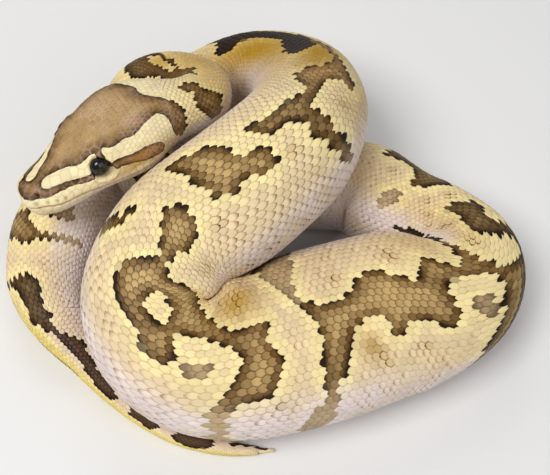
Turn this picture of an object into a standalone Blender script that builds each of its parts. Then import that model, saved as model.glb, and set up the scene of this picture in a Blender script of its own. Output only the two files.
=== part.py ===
"""A ball python at rest in a loose coil, life size, as a still display model.

The whole animal is one swept form. Its axis runs from the snout through the head, the bend of the
neck, under the raised coil, round the floor, up over itself and out to the tip of the tail.
Sections square to that axis give the head, the neck, the stout trunk and the thin tail. Where two
coils touch, both are pressed flat against each other, and what meets the floor is flat. Thin cuts
part the form into its named lengths. Metres, +Z up, origin on the floor below the coil.
"""
import math

import bmesh
import bpy
import numpy as np
from mathutils import Vector
from mathutils.kdtree import KDTree

NAME = "ball_python"
MM = 0.001

# The axis of the body in mm, from the tip of the snout to the tip of the tail.
ROUTE = [
    (-70.7, -0.7, 35.0), (-60.0, 7.4, 37.7), (-49.4, 15.9, 40.4), (-39.0, 23.6, 43.0),
    (-28.5, 27.8, 41.8), (-22.0, 31.5, 39.3), (-19.8, 37.5, 36.8), (-23.0, 44.8, 33.5),
    (-29.5, 49.2, 31.0), (-37.0, 50.8, 30.0), (-43.5, 47.0, 29.3), (-45.8, 38.5, 28.3),
    (-44.5, 30.0, 27.0), (-41.5, 23.5, 21.5), (-36.0, 18.4, 14.5), (-18.0, 19.2, 10.2),
    (5.0, 21.0, 11.0), (26.0, 22.5, 12.0), (36.0, 13.4, 11.7), (48.6, 6.4, 12.4),
    (55.6, -1.6, 13.5), (57.0, -9.4, 14.5), (53.5, -17.2, 15.0), (45.0, -22.3, 15.4),
    (32.0, -26.0, 15.8), (11.5, -33.5, 16.2), (-8.0, -40.0, 16.6), (-21.0, -41.0, 17.2),
    (-31.0, -35.5, 19.0), (-35.0, -24.5, 22.5), (-27.0, -10.0, 30.0), (-11.5, -1.5, 38.0),
    (4.0, 13.0, 40.0), (11.0, 31.5, 33.5), (10.0, 47.5, 27.0), (3.5, 59.0, 20.5),
    (-8.5, 65.6, 15.5), (-21.0, 62.2, 12.0), (-35.5, 52.0, 10.7), (-50.0, 38.5, 10.5),
    (-62.0, 21.0, 10.5), (-67.3, 2.0, 10.5), (-68.5, -13.5, 9.2), (-62.5, -25.5, 6.6),
    (-52.8, -37.2, 4.5), (-42.5, -48.2, 3.5), (-26.5, -58.8, 2.8), (-10.0, -62.5, 2.0),
    (0.0, -61.7, 1.1),
]
ROUTE_SMOOTHING = 60        # passes of a 1-2-1 average over points about 1 mm apart
# Distance from the snout, then half the width, and the reach above and below the axis, in mm.
GIRTH = [
    (0, 3.4, 2.6, 2.8), (1.5, 6.0, 4.3, 4.6), (4, 7.7, 5.2, 5.9), (8, 9.1, 6.1, 6.8),
    (14, 10.0, 7.4, 7.6), (20, 11.0, 8.4, 8.0), (25, 12.7, 9.0, 8.4), (30, 14.6, 9.3, 8.6),
    (35, 15.2, 9.3, 8.6), (40, 14.2, 9.0, 8.4), (46, 11.4, 8.5, 8.0), (52, 8.9, 7.9, 7.7),
    (90, 8.3, 7.9, 7.9), (109, 9.0, 7.6, 7.6), (126, 10.5, 9.4, 9.4), (165, 13.2, 10.6, 10.6),
    (195, 15.6, 12.4, 12.4), (210, 14.0, 11.6, 11.6), (222, 14.8, 12.2, 12.2),
    (236, 18.2, 14.3, 14.3), (262, 24.8, 16.4, 16.4),
    (287, 25.8, 16.9, 16.9), (307, 24.6, 17.3, 17.3), (331, 21.4, 18.0, 18.0),
    (359, 20.6, 18.4, 18.4), (399, 19.5, 17.3, 17.3), (437, 16.9, 14.7, 14.7),
    (465, 14.2, 12.8, 12.8), (480, 13.6, 11.8, 11.8), (496, 13.5, 11.1, 11.1),
    (556, 13.9, 11.0, 11.0), (571, 12.2, 9.9, 9.9), (583, 9.2, 7.5, 7.5), (598, 5.6, 5.0, 5.0),
    (613, 4.2, 3.9, 3.9), (632, 3.2, 3.1, 3.1), (649, 2.2, 2.2, 2.2), (660, 0.8, 0.8, 0.8),
]
SECTION_POWER = 2.3         # 2 is an ellipse, more is squarer
HEAD_TURN = 3.0             # degrees the left side of the head is lifted
HEAD_TURN_ENDS = 62.0       # mm from the snout where that lean has faded
# Sections every RING_STEP mm with SIDES points, kept from a finer grid that is pressed first.
RING_STEP = 5.0
SIDES = 22
FINER = 2
# Pressing: coils that touch keep CLEARANCE mm between them, and a bend never folds over itself.
CLEARANCE = 0.8
PRESS_PASSES = 36
BEND_LIMIT = 0.86
APART = 0.62                # lengths of the axis this many widths apart press on each other
LEAST_APART = 10.0
LEAST_ADVANCE = 0.12        # sections keep this part of their spacing on the inside of a bend
HEAD_SHARE = 0.1            # the part of a dent that the hard head takes
# The lengths, by the distance of their tailward end from the snout in mm.
LENGTHS = [
    ("head", 50), ("neck_1", 80), ("neck_2", 120), ("trunk_01", 160), ("trunk_02", 200),
    ("trunk_03", 240), ("trunk_04", 280), ("trunk_05", 310), ("trunk_06", 345), ("trunk_07", 375),
    ("trunk_08", 410), ("trunk_09", 450), ("trunk_10", 485), ("trunk_11", 525), ("trunk_12", 560),
    ("trunk_13", 585), ("tail_1", 620), ("tail_2", None),
]
CUT = 0.3                   # mm left open at each cut
# The mouth line in the head's own frame: mm back from the snout, mm above the axis.
MOUTH = [(-2.0, -2.4), (4.0, -2.9), (12.0, -3.3), (22.0, -3.8), (31.0, -3.9), (37.0, -3.2)]
JAW_REACH = 20.0
EYE_RADIUS = 3.1
EYE_PLACE = (22.0, 9.7, 4.0)   # mm back from the snout, out to the side, above the axis


def smooth_rows(rows, passes):
    """The rows averaged with their neighbours, with both ends held."""
    rows = np.array(rows, float)
    for _ in range(passes):
        rows[1:-1] = 0.25 * rows[:-2] + 0.5 * rows[1:-1] + 0.25 * rows[2:]
    return rows


def distances(points):
    """Distance along a row of points from its first one."""
    steps = np.linalg.norm(np.diff(points, axis=0), axis=1)
    return np.concatenate([[0.0], np.cumsum(steps)])


def evenly(points, count):
    """The same path with count + 1 evenly spaced points."""
    along = distances(points)
    grid = np.linspace(0.0, along[-1], count + 1)
    return np.stack([np.interp(grid, along, points[:, k]) for k in range(3)], 1)


def smooth_axis(route, step):
    """A smooth curve near the route's points, with points about step apart."""
    route = np.array(route, float)
    fine = evenly(route, int(round(distances(route)[-1])))
    fine = smooth_rows(fine, ROUTE_SMOOTHING)
    return evenly(fine, int(round(distances(fine)[-1] / step)))


def profile(column, along):
    """One column of GIRTH at each distance, with its corners eased."""
    table = np.array(GIRTH)
    grid = np.arange(0.0, along[-1] + 0.5, 0.5)
    values = smooth_rows(np.interp(grid, table[:, 0], table[:, column]), 10)
    return np.interp(along, grid, values)


def limit_between(one_span, other_span):
    """How far apart along the axis two points must be to count as two lengths."""
    return max(APART * (one_span + other_span), LEAST_APART)


class Body:
    """The swept form: its axis, the frame at each section, and how far its skin reaches."""

    def __init__(self):
        self.axis = smooth_axis(ROUTE, RING_STEP / FINER)
        self.along = distances(self.axis)
        self.count = len(self.axis)
        self.sides = SIDES * FINER
        self.tangent = np.gradient(self.axis, axis=0)
        self.tangent /= np.linalg.norm(self.tangent, axis=1)[:, None]
        # left is the animal's own left, because the axis runs towards the tail
        left = np.cross(self.tangent, (0.0, 0.0, 1.0))
        left /= np.linalg.norm(left, axis=1)[:, None]
        up = np.cross(left, self.tangent)
        fade = np.clip((HEAD_TURN_ENDS - self.along) / (HEAD_TURN_ENDS - 44.0), 0.0, 1.0)
        turn = np.radians(HEAD_TURN) * fade[:, None]
        self.left = np.cos(turn) * left + np.sin(turn) * up
        self.up = np.cos(turn) * up - np.sin(turn) * left
        self.half_width = profile(1, self.along)
        self.set_reach()

    def set_reach(self):
        """Distance of the skin from the axis at each section, before anything presses on it."""
        angle = np.arange(self.sides) / self.sides * 2.0 * math.pi
        across = np.sign(np.cos(angle)) * np.abs(np.cos(angle)) ** (2.0 / SECTION_POWER)
        rise = np.sign(np.sin(angle)) * np.abs(np.sin(angle)) ** (2.0 / SECTION_POWER)
        above = profile(2, self.along)[:, None] * np.maximum(rise, 0.0)
        below = profile(3, self.along)[:, None] * np.minimum(rise, 0.0)
        offset = (self.half_width[:, None] * across)[..., None] * self.left[:, None]
        offset = offset + (above + below)[..., None] * self.up[:, None]
        # on the inside of a bend the skin stays short of the centre the sections turn about
        curve = np.gradient(self.tangent, self.along, axis=0)
        nearness = np.einsum("ijk,ik->ij", offset, curve)
        start = 0.6
        room = BEND_LIMIT - start
        eased = start + room * np.tanh((nearness - start) / room)
        offset = offset * np.where(nearness > start, eased / np.maximum(nearness, 1e-9), 1.0)[..., None]
        self.free = np.linalg.norm(offset, axis=2)
        self.outward = offset / self.free[..., None]
        self.reach = self.free.copy()
        self.unfold()
        self.free = self.reach.copy()

    def unfold(self):
        """Draw the skin in on the inside of a bend until the sections no longer cross."""
        spacing = self.along[1]
        for _ in range(80):
            skin = self.axis[:, None] + self.outward * self.reach[..., None]
            middle = self.tangent[:-1] + self.tangent[1:]
            middle /= np.linalg.norm(middle, axis=1)[:, None]
            advance = np.einsum("ijk,ik->ij", skin[1:] - skin[:-1], middle)
            crossed = advance < LEAST_ADVANCE * spacing
            if not crossed.any():
                break
            drawn = np.zeros_like(self.reach, bool)
            drawn[1:] |= crossed
            drawn[:-1] |= crossed
            self.reach = np.where(drawn, 0.97 * self.reach, self.reach)

    def centre(self):
        """Move the coil sideways until the middle of its kept sections stands over the origin."""
        kept = self.points()[::FINER, ::FINER].reshape(-1, 3)
        middle = 0.5 * (kept.min(0) + kept.max(0))
        self.axis = self.axis - (middle[0], middle[1], 0.0)

    def points(self):
        """Every point of the skin, with none of them under the floor."""
        skin = self.axis[:, None] + self.outward * self.reach[..., None]
        skin[..., 2] = np.maximum(skin[..., 2], 0.0)
        return skin

    def normals(self, skin):
        """The outward normal at every point of the skin."""
        around = np.roll(skin, -1, 1) - np.roll(skin, 1, 1)
        normal = np.cross(around, np.gradient(skin, axis=0))
        normal /= np.maximum(np.linalg.norm(normal, axis=2), 1e-9)[..., None]
        facing = np.einsum("ijk,ijk->ij", normal, self.outward)
        return normal * np.sign(facing.mean())

    def press(self):
        """Dent the skin wherever two lengths of the body would share the same space."""
        section = np.repeat(np.arange(self.count), self.sides)
        yields = np.where(self.along < HEAD_TURN_ENDS, HEAD_SHARE, 1.0)[section]
        span = self.half_width[section]
        place = self.along[section]
        for step in range(PRESS_PASSES):
            skin = self.points()
            flat = skin.reshape(-1, 3)
            normal = self.normals(skin).reshape(-1, 3)
            tree = KDTree(len(flat))
            for number, point in enumerate(flat):
                tree.insert(point, number)
            tree.balance()
            if step == 0:
                watched = self.near_other_lengths(tree, flat, place, span)
            push = np.zeros(len(flat))
            for number in watched:
                other = self.nearest_other(tree, flat, normal, place, span, number)
                if other is None:
                    continue
                gap = float(np.dot(flat[number] - flat[other], normal[other]))
                share = yields[number] / (yields[number] + yields[other])
                push[number] = max(CLEARANCE - gap, 0.0) * share
            lean = np.abs(np.einsum("ij,ij->i", normal, self.outward.reshape(-1, 3)))
            moved = np.minimum(push / np.maximum(lean, 0.4), 0.9).reshape(self.reach.shape)
            self.reach = np.maximum(self.reach - moved, 0.35 * self.free)
            if step % 3 == 2:
                self.ease_dents()

    def near_other_lengths(self, tree, flat, place, span):
        """The points that come within reach of another length of the body."""
        watched = []
        for number in range(len(flat)):
            for _, other, _ in tree.find_range(Vector(flat[number]), 6.0):
                if abs(place[other] - place[number]) > limit_between(span[number], span[other]):
                    watched.append(number)
                    break
        return watched

    def nearest_other(self, tree, flat, normal, place, span, number):
        """The nearest point of another length that faces this one, or None."""
        found = sorted(tree.find_range(Vector(flat[number]), 7.0), key=lambda hit: hit[2])
        for _, other, _ in found:
            far_along = abs(place[other] - place[number]) > limit_between(span[number], span[other])
            if far_along and np.dot(normal[other], normal[number]) < 0.1:
                return other
        return None

    def ease_dents(self):
        """Round the rims of the dents a little."""
        reach = self.reach
        around = np.roll(reach, 1, 1) + np.roll(reach, -1, 1)
        ahead = np.vstack([reach[:1], reach[:-1]]) + np.vstack([reach[1:], reach[-1:]])
        eased = 0.5 * reach + 0.125 * around + 0.125 * ahead
        dented = self.free - reach > 0.05
        self.reach = np.where(dented, np.minimum(eased, reach + 0.2), reach)


def closed_loft(name, rings):
    """A closed mesh object through rings of points in metres, each end a flat face."""
    mesh = bpy.data.meshes.new(name)
    bm = bmesh.new()
    rows = [[bm.verts.new(point) for point in ring] for ring in rings]
    for near, far in zip(rows, rows[1:]):
        for k in range(len(near)):
            nxt = (k + 1) % len(near)
            bm.faces.new((near[k], near[nxt], far[nxt], far[k]))
    bm.faces.new(rows[0])
    bm.faces.new(list(reversed(rows[-1])))
    bmesh.ops.recalc_face_normals(bm, faces=bm.faces)
    bm.to_mesh(mesh)
    bm.free()
    return bpy.data.objects.new(name, mesh)


def finish(node, colour, roughness, collection):
    """Give a node its own material and put it in the model's collection."""
    material = bpy.data.materials.new(node.name + "_finish")
    material.use_nodes = True
    shader = material.node_tree.nodes["Principled BSDF"]
    shader.inputs["Base Color"].default_value = (*colour, 1.0)
    shader.inputs["Roughness"].default_value = roughness
    shader.inputs["Metallic"].default_value = 0.0
    node.data.materials.append(material)
    collection.objects.link(node)


def cut_from(node, cutter, operation):
    """Boolean modifier that cuts a node by a guide."""
    modifier = node.modifiers.new(operation.title() + "_" + cutter.name, "BOOLEAN")
    modifier.operation = operation
    modifier.solver = "EXACT"
    modifier.object = cutter


def guide(cutter, collection):
    """Put a cutter in the guides' collection, drawn as a wire and left out of renders."""
    cutter.display_type = "WIRE"
    cutter.hide_render = True
    collection.objects.link(cutter)
    return cutter


def head_point(body, back, out, above):
    """A place in the head's own frame, in metres."""
    ring = max(int(round(back / body.along[1])), 0)
    start = body.axis[0] + body.tangent[ring] * back
    return (start + body.left[ring] * out + body.up[ring] * above) * MM


def jaw_block(body, name, drop):
    """A block that holds all of the head below the mouth line, lowered by drop mm."""
    line = [(back, above - drop) for back, above in MOUTH]
    corner = (MOUTH[-1][0] + 0.5 - drop, -JAW_REACH)
    outline = line + [corner, (MOUTH[0][0], -JAW_REACH)]
    rings = [
        [head_point(body, back, out, above) for back, above in outline]
        for out in (-JAW_REACH, JAW_REACH)
    ]
    return closed_loft(name, rings)


def eyeball(body, name, side, radius):
    """A round eye set into the side of the head."""
    mesh = bpy.data.meshes.new(name)
    bm = bmesh.new()
    bmesh.ops.create_uvsphere(bm, u_segments=20, v_segments=12, radius=radius * MM)
    back, out, above = EYE_PLACE
    bmesh.ops.translate(bm, verts=bm.verts, vec=Vector(head_point(body, back, out * side, above)))
    bm.to_mesh(mesh)
    bm.free()
    return bpy.data.objects.new(name, mesh)


def length_rings(body, skin, first, last, open_start, open_end):
    """The kept sections of one length, drawn in by half a cut where it meets its neighbours."""
    start = int(round(first / RING_STEP)) * FINER
    end = body.count - 1 if last is None else int(round(last / RING_STEP)) * FINER
    kept = list(range(start, end, FINER)) + [end]
    if len(kept) > 2 and kept[-1] - kept[-2] < FINER:
        kept.pop(-2)
    rings = [skin[k, ::FINER].copy() for k in kept]
    if open_start:
        rings[0] += body.tangent[kept[0]] * CUT / 2.0
    if open_end:
        rings[-1] -= body.tangent[kept[-1]] * CUT / 2.0
    return [ring * MM for ring in rings]


def build():
    """Model every node of the snake."""
    model = bpy.data.collections.new(NAME)
    guides = bpy.data.collections.new("guides")
    bpy.context.scene.collection.children.link(model)
    bpy.context.scene.collection.children.link(guides)
    body = Body()
    body.press()
    body.centre()
    skin = body.points()
    cream, brown, eye_black = (0.78, 0.64, 0.38), (0.26, 0.15, 0.06), (0.01, 0.012, 0.01)
    first = 0
    for number, (name, last) in enumerate(LENGTHS):
        rings = length_rings(body, skin, first, last, number > 0, last is not None)
        node = closed_loft(name, rings)
        finish(node, brown if name == "head" else cream, 0.5, model)
        if name == "head":
            jaw = closed_loft("lower_jaw", rings)
            finish(jaw, cream, 0.5, model)
            cut_from(node, guide(jaw_block(body, "mouth_cut", 0.0), guides), "DIFFERENCE")
            cut_from(jaw, guide(jaw_block(body, "jaw_cut", CUT), guides), "INTERSECT")
            for side, label in ((1, "left"), (-1, "right")):
                socket = guide(eyeball(body, "socket_" + label, side, EYE_RADIUS + CUT), guides)
                cut_from(node, socket, "DIFFERENCE")
                finish(eyeball(body, "eye_" + label, side, EYE_RADIUS), eye_black, 0.1, model)
        first = last


for old in list(bpy.data.objects):
    bpy.data.objects.remove(old, do_unlink=True)
build()
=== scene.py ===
import math

import bmesh
import bpy
import numpy as np
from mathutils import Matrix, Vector
from mathutils.kdtree import KDTree


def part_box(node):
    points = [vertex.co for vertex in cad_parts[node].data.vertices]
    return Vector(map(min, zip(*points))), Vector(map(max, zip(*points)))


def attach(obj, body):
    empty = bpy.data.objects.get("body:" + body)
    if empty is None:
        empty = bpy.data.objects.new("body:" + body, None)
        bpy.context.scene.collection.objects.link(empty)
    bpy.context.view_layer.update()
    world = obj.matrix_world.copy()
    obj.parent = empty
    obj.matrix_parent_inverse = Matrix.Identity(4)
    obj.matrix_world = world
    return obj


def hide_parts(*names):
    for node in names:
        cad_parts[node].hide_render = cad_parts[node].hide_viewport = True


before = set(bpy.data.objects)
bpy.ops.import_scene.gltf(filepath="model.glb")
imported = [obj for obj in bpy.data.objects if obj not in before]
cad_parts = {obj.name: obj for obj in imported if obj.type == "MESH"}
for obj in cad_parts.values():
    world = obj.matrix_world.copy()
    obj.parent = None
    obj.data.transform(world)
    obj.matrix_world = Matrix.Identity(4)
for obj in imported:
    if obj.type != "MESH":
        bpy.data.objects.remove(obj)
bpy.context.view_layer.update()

# The lie of the body. A python at rest is one tapering tube of muscle laid in a loose coil, with
# its coils pressed flat where they touch. Route, girth and pressing are those of the solids.
MM = 0.001
ROUTE = [
    (-70.7, -0.7, 35.0), (-60.0, 7.4, 37.7), (-49.4, 15.9, 40.4), (-39.0, 23.6, 43.0),
    (-28.5, 27.8, 41.8), (-22.0, 31.5, 39.3), (-19.8, 37.5, 36.8), (-23.0, 44.8, 33.5),
    (-29.5, 49.2, 31.0), (-37.0, 50.8, 30.0), (-43.5, 47.0, 29.3), (-45.8, 38.5, 28.3),
    (-44.5, 30.0, 27.0), (-41.5, 23.5, 21.5), (-36.0, 18.4, 14.5), (-18.0, 19.2, 10.2),
    (5.0, 21.0, 11.0), (26.0, 22.5, 12.0), (36.0, 13.4, 11.7), (48.6, 6.4, 12.4),
    (55.6, -1.6, 13.5), (57.0, -9.4, 14.5), (53.5, -17.2, 15.0), (45.0, -22.3, 15.4),
    (32.0, -26.0, 15.8), (11.5, -33.5, 16.2), (-8.0, -40.0, 16.6), (-21.0, -41.0, 17.2),
    (-31.0, -35.5, 19.0), (-35.0, -24.5, 22.5), (-27.0, -10.0, 30.0), (-11.5, -1.5, 38.0),
    (4.0, 13.0, 40.0), (11.0, 31.5, 33.5), (10.0, 47.5, 27.0), (3.5, 59.0, 20.5),
    (-8.5, 65.6, 15.5), (-21.0, 62.2, 12.0), (-35.5, 52.0, 10.7), (-50.0, 38.5, 10.5),
    (-62.0, 21.0, 10.5), (-67.3, 2.0, 10.5), (-68.5, -13.5, 9.2), (-62.5, -25.5, 6.6),
    (-52.8, -37.2, 4.5), (-42.5, -48.2, 3.5), (-26.5, -58.8, 2.8), (-10.0, -62.5, 2.0),
    (0.0, -61.7, 1.1),
]
ROUTE_SMOOTHING = 60        # passes of a 1-2-1 average over points about 1 mm apart
# Distance from the snout, then half the width, and the reach above and below the axis, in mm.
GIRTH = [
    (0, 3.4, 2.6, 2.8), (1.5, 6.0, 4.3, 4.6), (4, 7.7, 5.2, 5.9), (8, 9.1, 6.1, 6.8),
    (14, 10.0, 7.4, 7.6), (20, 11.0, 8.4, 8.0), (25, 12.7, 9.0, 8.4), (30, 14.6, 9.3, 8.6),
    (35, 15.2, 9.3, 8.6), (40, 14.2, 9.0, 8.4), (46, 11.4, 8.5, 8.0), (52, 8.9, 7.9, 7.7),
    (90, 8.3, 7.9, 7.9), (109, 9.0, 7.6, 7.6), (126, 10.5, 9.4, 9.4), (165, 13.2, 10.6, 10.6),
    (195, 15.6, 12.4, 12.4), (210, 14.0, 11.6, 11.6), (222, 14.8, 12.2, 12.2),
    (236, 18.2, 14.3, 14.3), (262, 24.8, 16.4, 16.4),
    (287, 25.8, 16.9, 16.9), (307, 24.6, 17.3, 17.3), (331, 21.4, 18.0, 18.0),
    (359, 20.6, 18.4, 18.4), (399, 19.5, 17.3, 17.3), (437, 16.9, 14.7, 14.7),
    (465, 14.2, 12.8, 12.8), (480, 13.6, 11.8, 11.8), (496, 13.5, 11.1, 11.1),
    (556, 13.9, 11.0, 11.0), (571, 12.2, 9.9, 9.9), (583, 9.2, 7.5, 7.5), (598, 5.6, 5.0, 5.0),
    (613, 4.2, 3.9, 3.9), (632, 3.2, 3.1, 3.1), (649, 2.2, 2.2, 2.2), (660, 0.8, 0.8, 0.8),
]
SECTION_POWER = 2.3         # 2 is an ellipse, more is squarer
HEAD_TURN = 3.0             # degrees the left side of the head is lifted
HEAD_TURN_FADES = 44.0      # mm from the snout where that lean begins to fade
HEAD_TURN_ENDS = 62.0       # and where it has faded
GIRTH_STEP = 0.5            # mm between the values of an eased profile
GIRTH_SMOOTHING = 10
PRESS_STEP = 2.5            # mm between the sections that are pressed, each of PRESS_SIDES points
PRESS_SIDES = 44
CLEARANCE = 0.8             # mm kept between two lengths that press on each other
PRESS_PASSES = 36
PRESS_LOOKOUT = 6.0         # mm within which a point looks for another length at the start
PRESS_PARTNER = 7.0         # mm within which it looks for the point it presses on
PRESS_MOST = 0.9            # mm a point gives way in one pass
PRESS_LEAN = 0.4            # least part of that push taken straight towards the axis
PRESS_LEFT = 0.35           # part of its free reach that every point keeps
DENT_LEAST = 0.05           # mm of dent from which its rim is rounded
DENT_EASED = 0.2            # mm the rounding fills in at most
BEND_EASED = 0.6            # nearness to the centre of a bend, as a part of the way, eased from here
BEND_LIMIT = 0.86           # and never past this
UNFOLD_PASSES = 80
UNFOLD_STEP = 0.97
APART = 0.62                # lengths of the axis this many widths apart press on each other
LEAST_APART = 10.0
LEAST_ADVANCE = 0.12        # sections keep this part of their spacing on the inside of a bend
HEAD_SHARE = 0.1            # the part of a dent that the hard head takes
CHART_STEP = 0.5            # mm between the rows of the finished surface
CHART_SIDES = 176


def smooth_rows(rows, passes):
    """The rows averaged with their neighbours, with both ends held."""
    rows = np.array(rows, float)
    for _ in range(passes):
        rows[1:-1] = 0.25 * rows[:-2] + 0.5 * rows[1:-1] + 0.25 * rows[2:]
    return rows


def smooth_round(rows, passes):
    """The same round the body, where the last column meets the first."""
    for _ in range(passes):
        rows = 0.25 * np.roll(rows, 1, 1) + 0.5 * rows + 0.25 * np.roll(rows, -1, 1)
    return rows


def distances(points):
    """Distance along a row of points from its first one."""
    steps = np.linalg.norm(np.diff(points, axis=0), axis=1)
    return np.concatenate([[0.0], np.cumsum(steps)])


def evenly(points, count):
    """The same path with count + 1 evenly spaced points."""
    along = distances(points)
    grid = np.linspace(0.0, along[-1], count + 1)
    return np.stack([np.interp(grid, along, points[:, k]) for k in range(3)], 1)


def smooth_axis(route, step):
    """A smooth curve near the route's points, with points about step apart."""
    route = np.array(route, float)
    fine = evenly(route, int(round(distances(route)[-1])))
    fine = smooth_rows(fine, ROUTE_SMOOTHING)
    return evenly(fine, int(round(distances(fine)[-1] / step)))


def profile(column, along, last):
    """One column of GIRTH at each distance, with its corners eased."""
    table = np.array(GIRTH)
    grid = np.arange(0.0, last + GIRTH_STEP, GIRTH_STEP)
    values = smooth_rows(np.interp(grid, table[:, 0], table[:, column]), GIRTH_SMOOTHING)
    return np.interp(along, grid, values)


def frames(axis, along):
    """Tangent, the animal's own left, and up, at each section."""
    tangent = np.gradient(axis, axis=0)
    tangent /= np.linalg.norm(tangent, axis=1)[:, None]
    left = np.cross(tangent, (0.0, 0.0, 1.0))
    left /= np.linalg.norm(left, axis=1)[:, None]
    up = np.cross(left, tangent)
    fade = np.clip((HEAD_TURN_ENDS - along) / (HEAD_TURN_ENDS - HEAD_TURN_FADES), 0.0, 1.0)
    turn = np.radians(HEAD_TURN) * fade[:, None]
    return tangent, np.cos(turn) * left + np.sin(turn) * up, np.cos(turn) * up - np.sin(turn) * left


def section(along, last, left, up, sides):
    """Offset from the axis to the unpressed skin, round each section."""
    angle = np.arange(sides) / sides * 2.0 * math.pi
    across = np.sign(np.cos(angle)) * np.abs(np.cos(angle)) ** (2.0 / SECTION_POWER)
    rise = np.sign(np.sin(angle)) * np.abs(np.sin(angle)) ** (2.0 / SECTION_POWER)
    above = profile(2, along, last)[:, None] * np.maximum(rise, 0.0)
    below = profile(3, along, last)[:, None] * np.minimum(rise, 0.0)
    offset = (profile(1, along, last)[:, None] * across)[..., None] * left[:, None]
    return offset + (above + below)[..., None] * up[:, None]


class Body:
    """The pressed form on the coarse sections of the solids."""

    def __init__(self):
        self.axis = smooth_axis(ROUTE, PRESS_STEP)
        self.along = distances(self.axis)
        self.count = len(self.axis)
        self.sides = PRESS_SIDES
        self.tangent, self.left, self.up = frames(self.axis, self.along)
        self.half_width = profile(1, self.along, self.along[-1])
        self.set_reach()

    def set_reach(self):
        """Distance of the skin from the axis at each section, before anything presses on it."""
        offset = section(self.along, self.along[-1], self.left, self.up, self.sides)
        self.whole = np.linalg.norm(offset, axis=2)
        # on the inside of a bend the skin stays short of the centre the sections turn about
        curve = np.gradient(self.tangent, self.along, axis=0)
        nearness = np.einsum("ijk,ik->ij", offset, curve)
        room = BEND_LIMIT - BEND_EASED
        eased = BEND_EASED + room * np.tanh((nearness - BEND_EASED) / room)
        part = np.where(nearness > BEND_EASED, eased / np.maximum(nearness, 1e-9), 1.0)
        offset = offset * part[..., None]
        self.free = np.linalg.norm(offset, axis=2)
        self.outward = offset / self.free[..., None]
        self.reach = self.free.copy()
        self.unfold()
        self.free = self.reach.copy()

    def unfold(self):
        """Draw the skin in on the inside of a bend until the sections no longer cross."""
        for _ in range(UNFOLD_PASSES):
            skin = self.axis[:, None] + self.outward * self.reach[..., None]
            middle = self.tangent[:-1] + self.tangent[1:]
            middle /= np.linalg.norm(middle, axis=1)[:, None]
            advance = np.einsum("ijk,ik->ij", skin[1:] - skin[:-1], middle)
            crossed = advance < LEAST_ADVANCE * self.along[1]
            if not crossed.any():
                break
            drawn = np.zeros_like(self.reach, bool)
            drawn[1:] |= crossed
            drawn[:-1] |= crossed
            self.reach = np.where(drawn, UNFOLD_STEP * self.reach, self.reach)

    def points(self):
        """Every point of the skin, with none of them under the floor."""
        skin = self.axis[:, None] + self.outward * self.reach[..., None]
        skin[..., 2] = np.maximum(skin[..., 2], 0.0)
        return skin

    def normals(self, skin):
        """The outward normal at every point of the skin."""
        around = np.roll(skin, -1, 1) - np.roll(skin, 1, 1)
        normal = np.cross(around, np.gradient(skin, axis=0))
        normal /= np.maximum(np.linalg.norm(normal, axis=2), 1e-9)[..., None]
        facing = np.einsum("ijk,ijk->ij", normal, self.outward)
        return normal * np.sign(facing.mean())

    def far_along(self, one, other):
        """Whether two points belong to different lengths of the body."""
        limit = max(APART * (self.span[one] + self.span[other]), LEAST_APART)
        return abs(self.place[other] - self.place[one]) > limit

    def press(self):
        """Dent the skin wherever two lengths of the body would share the same space."""
        rows = np.repeat(np.arange(self.count), self.sides)
        yields = np.where(self.along < HEAD_TURN_ENDS, HEAD_SHARE, 1.0)[rows]
        self.span = self.half_width[rows]
        self.place = self.along[rows]
        for step in range(PRESS_PASSES):
            skin = self.points()
            flat = skin.reshape(-1, 3)
            normal = self.normals(skin).reshape(-1, 3)
            tree = KDTree(len(flat))
            for number, point in enumerate(flat):
                tree.insert(point, number)
            tree.balance()
            if step == 0:
                watched = [number for number in range(len(flat)) if self.has_neighbour(tree, flat, number)]
            push = np.zeros(len(flat))
            for number in watched:
                other = self.nearest_other(tree, flat, normal, number)
                if other is None:
                    continue
                gap = float(np.dot(flat[number] - flat[other], normal[other]))
                share = yields[number] / (yields[number] + yields[other])
                push[number] = max(CLEARANCE - gap, 0.0) * share
            lean = np.abs(np.einsum("ij,ij->i", normal, self.outward.reshape(-1, 3)))
            moved = np.minimum(push / np.maximum(lean, PRESS_LEAN), PRESS_MOST).reshape(self.reach.shape)
            self.reach = np.maximum(self.reach - moved, PRESS_LEFT * self.free)
            if step % 3 == 2:
                self.ease_dents()

    def has_neighbour(self, tree, flat, number):
        """Whether another length of the body lies close to a point."""
        hits = tree.find_range(Vector(flat[number]), PRESS_LOOKOUT)
        return any(self.far_along(number, hit[1]) for hit in hits)

    def nearest_other(self, tree, flat, normal, number):
        """The nearest point of another length that faces this one, or None."""
        hits = tree.find_range(Vector(flat[number]), PRESS_PARTNER)
        for _, other, _ in sorted(hits, key=lambda hit: hit[2]):
            if self.far_along(number, other) and np.dot(normal[other], normal[number]) < 0.1:
                return other
        return None

    def ease_dents(self):
        """Round the rims of the dents a little."""
        reach = self.reach
        around = np.roll(reach, 1, 1) + np.roll(reach, -1, 1)
        ahead = np.vstack([reach[:1], reach[:-1]]) + np.vstack([reach[1:], reach[-1:]])
        eased = 0.5 * reach + 0.125 * around + 0.125 * ahead
        dented = self.free - reach > DENT_LEAST
        self.reach = np.where(dented, np.minimum(eased, reach + DENT_EASED), reach)


# How far the middle of the back is turned from straight up, as a part of the way round, by the
# distance from the snout. Where the coil lies on its side the back faces outwards.
BACK_TURN = [
    (0, 0.0), (50, 0.0), (95, 0.0), (150, 0.05), (190, 0.10), (240, 0.10), (262, 0.03), (280, 0.0),
    (415, 0.0), (440, -0.10), (470, -0.15), (560, -0.15), (600, -0.12), (660, -0.10),
]


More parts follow.
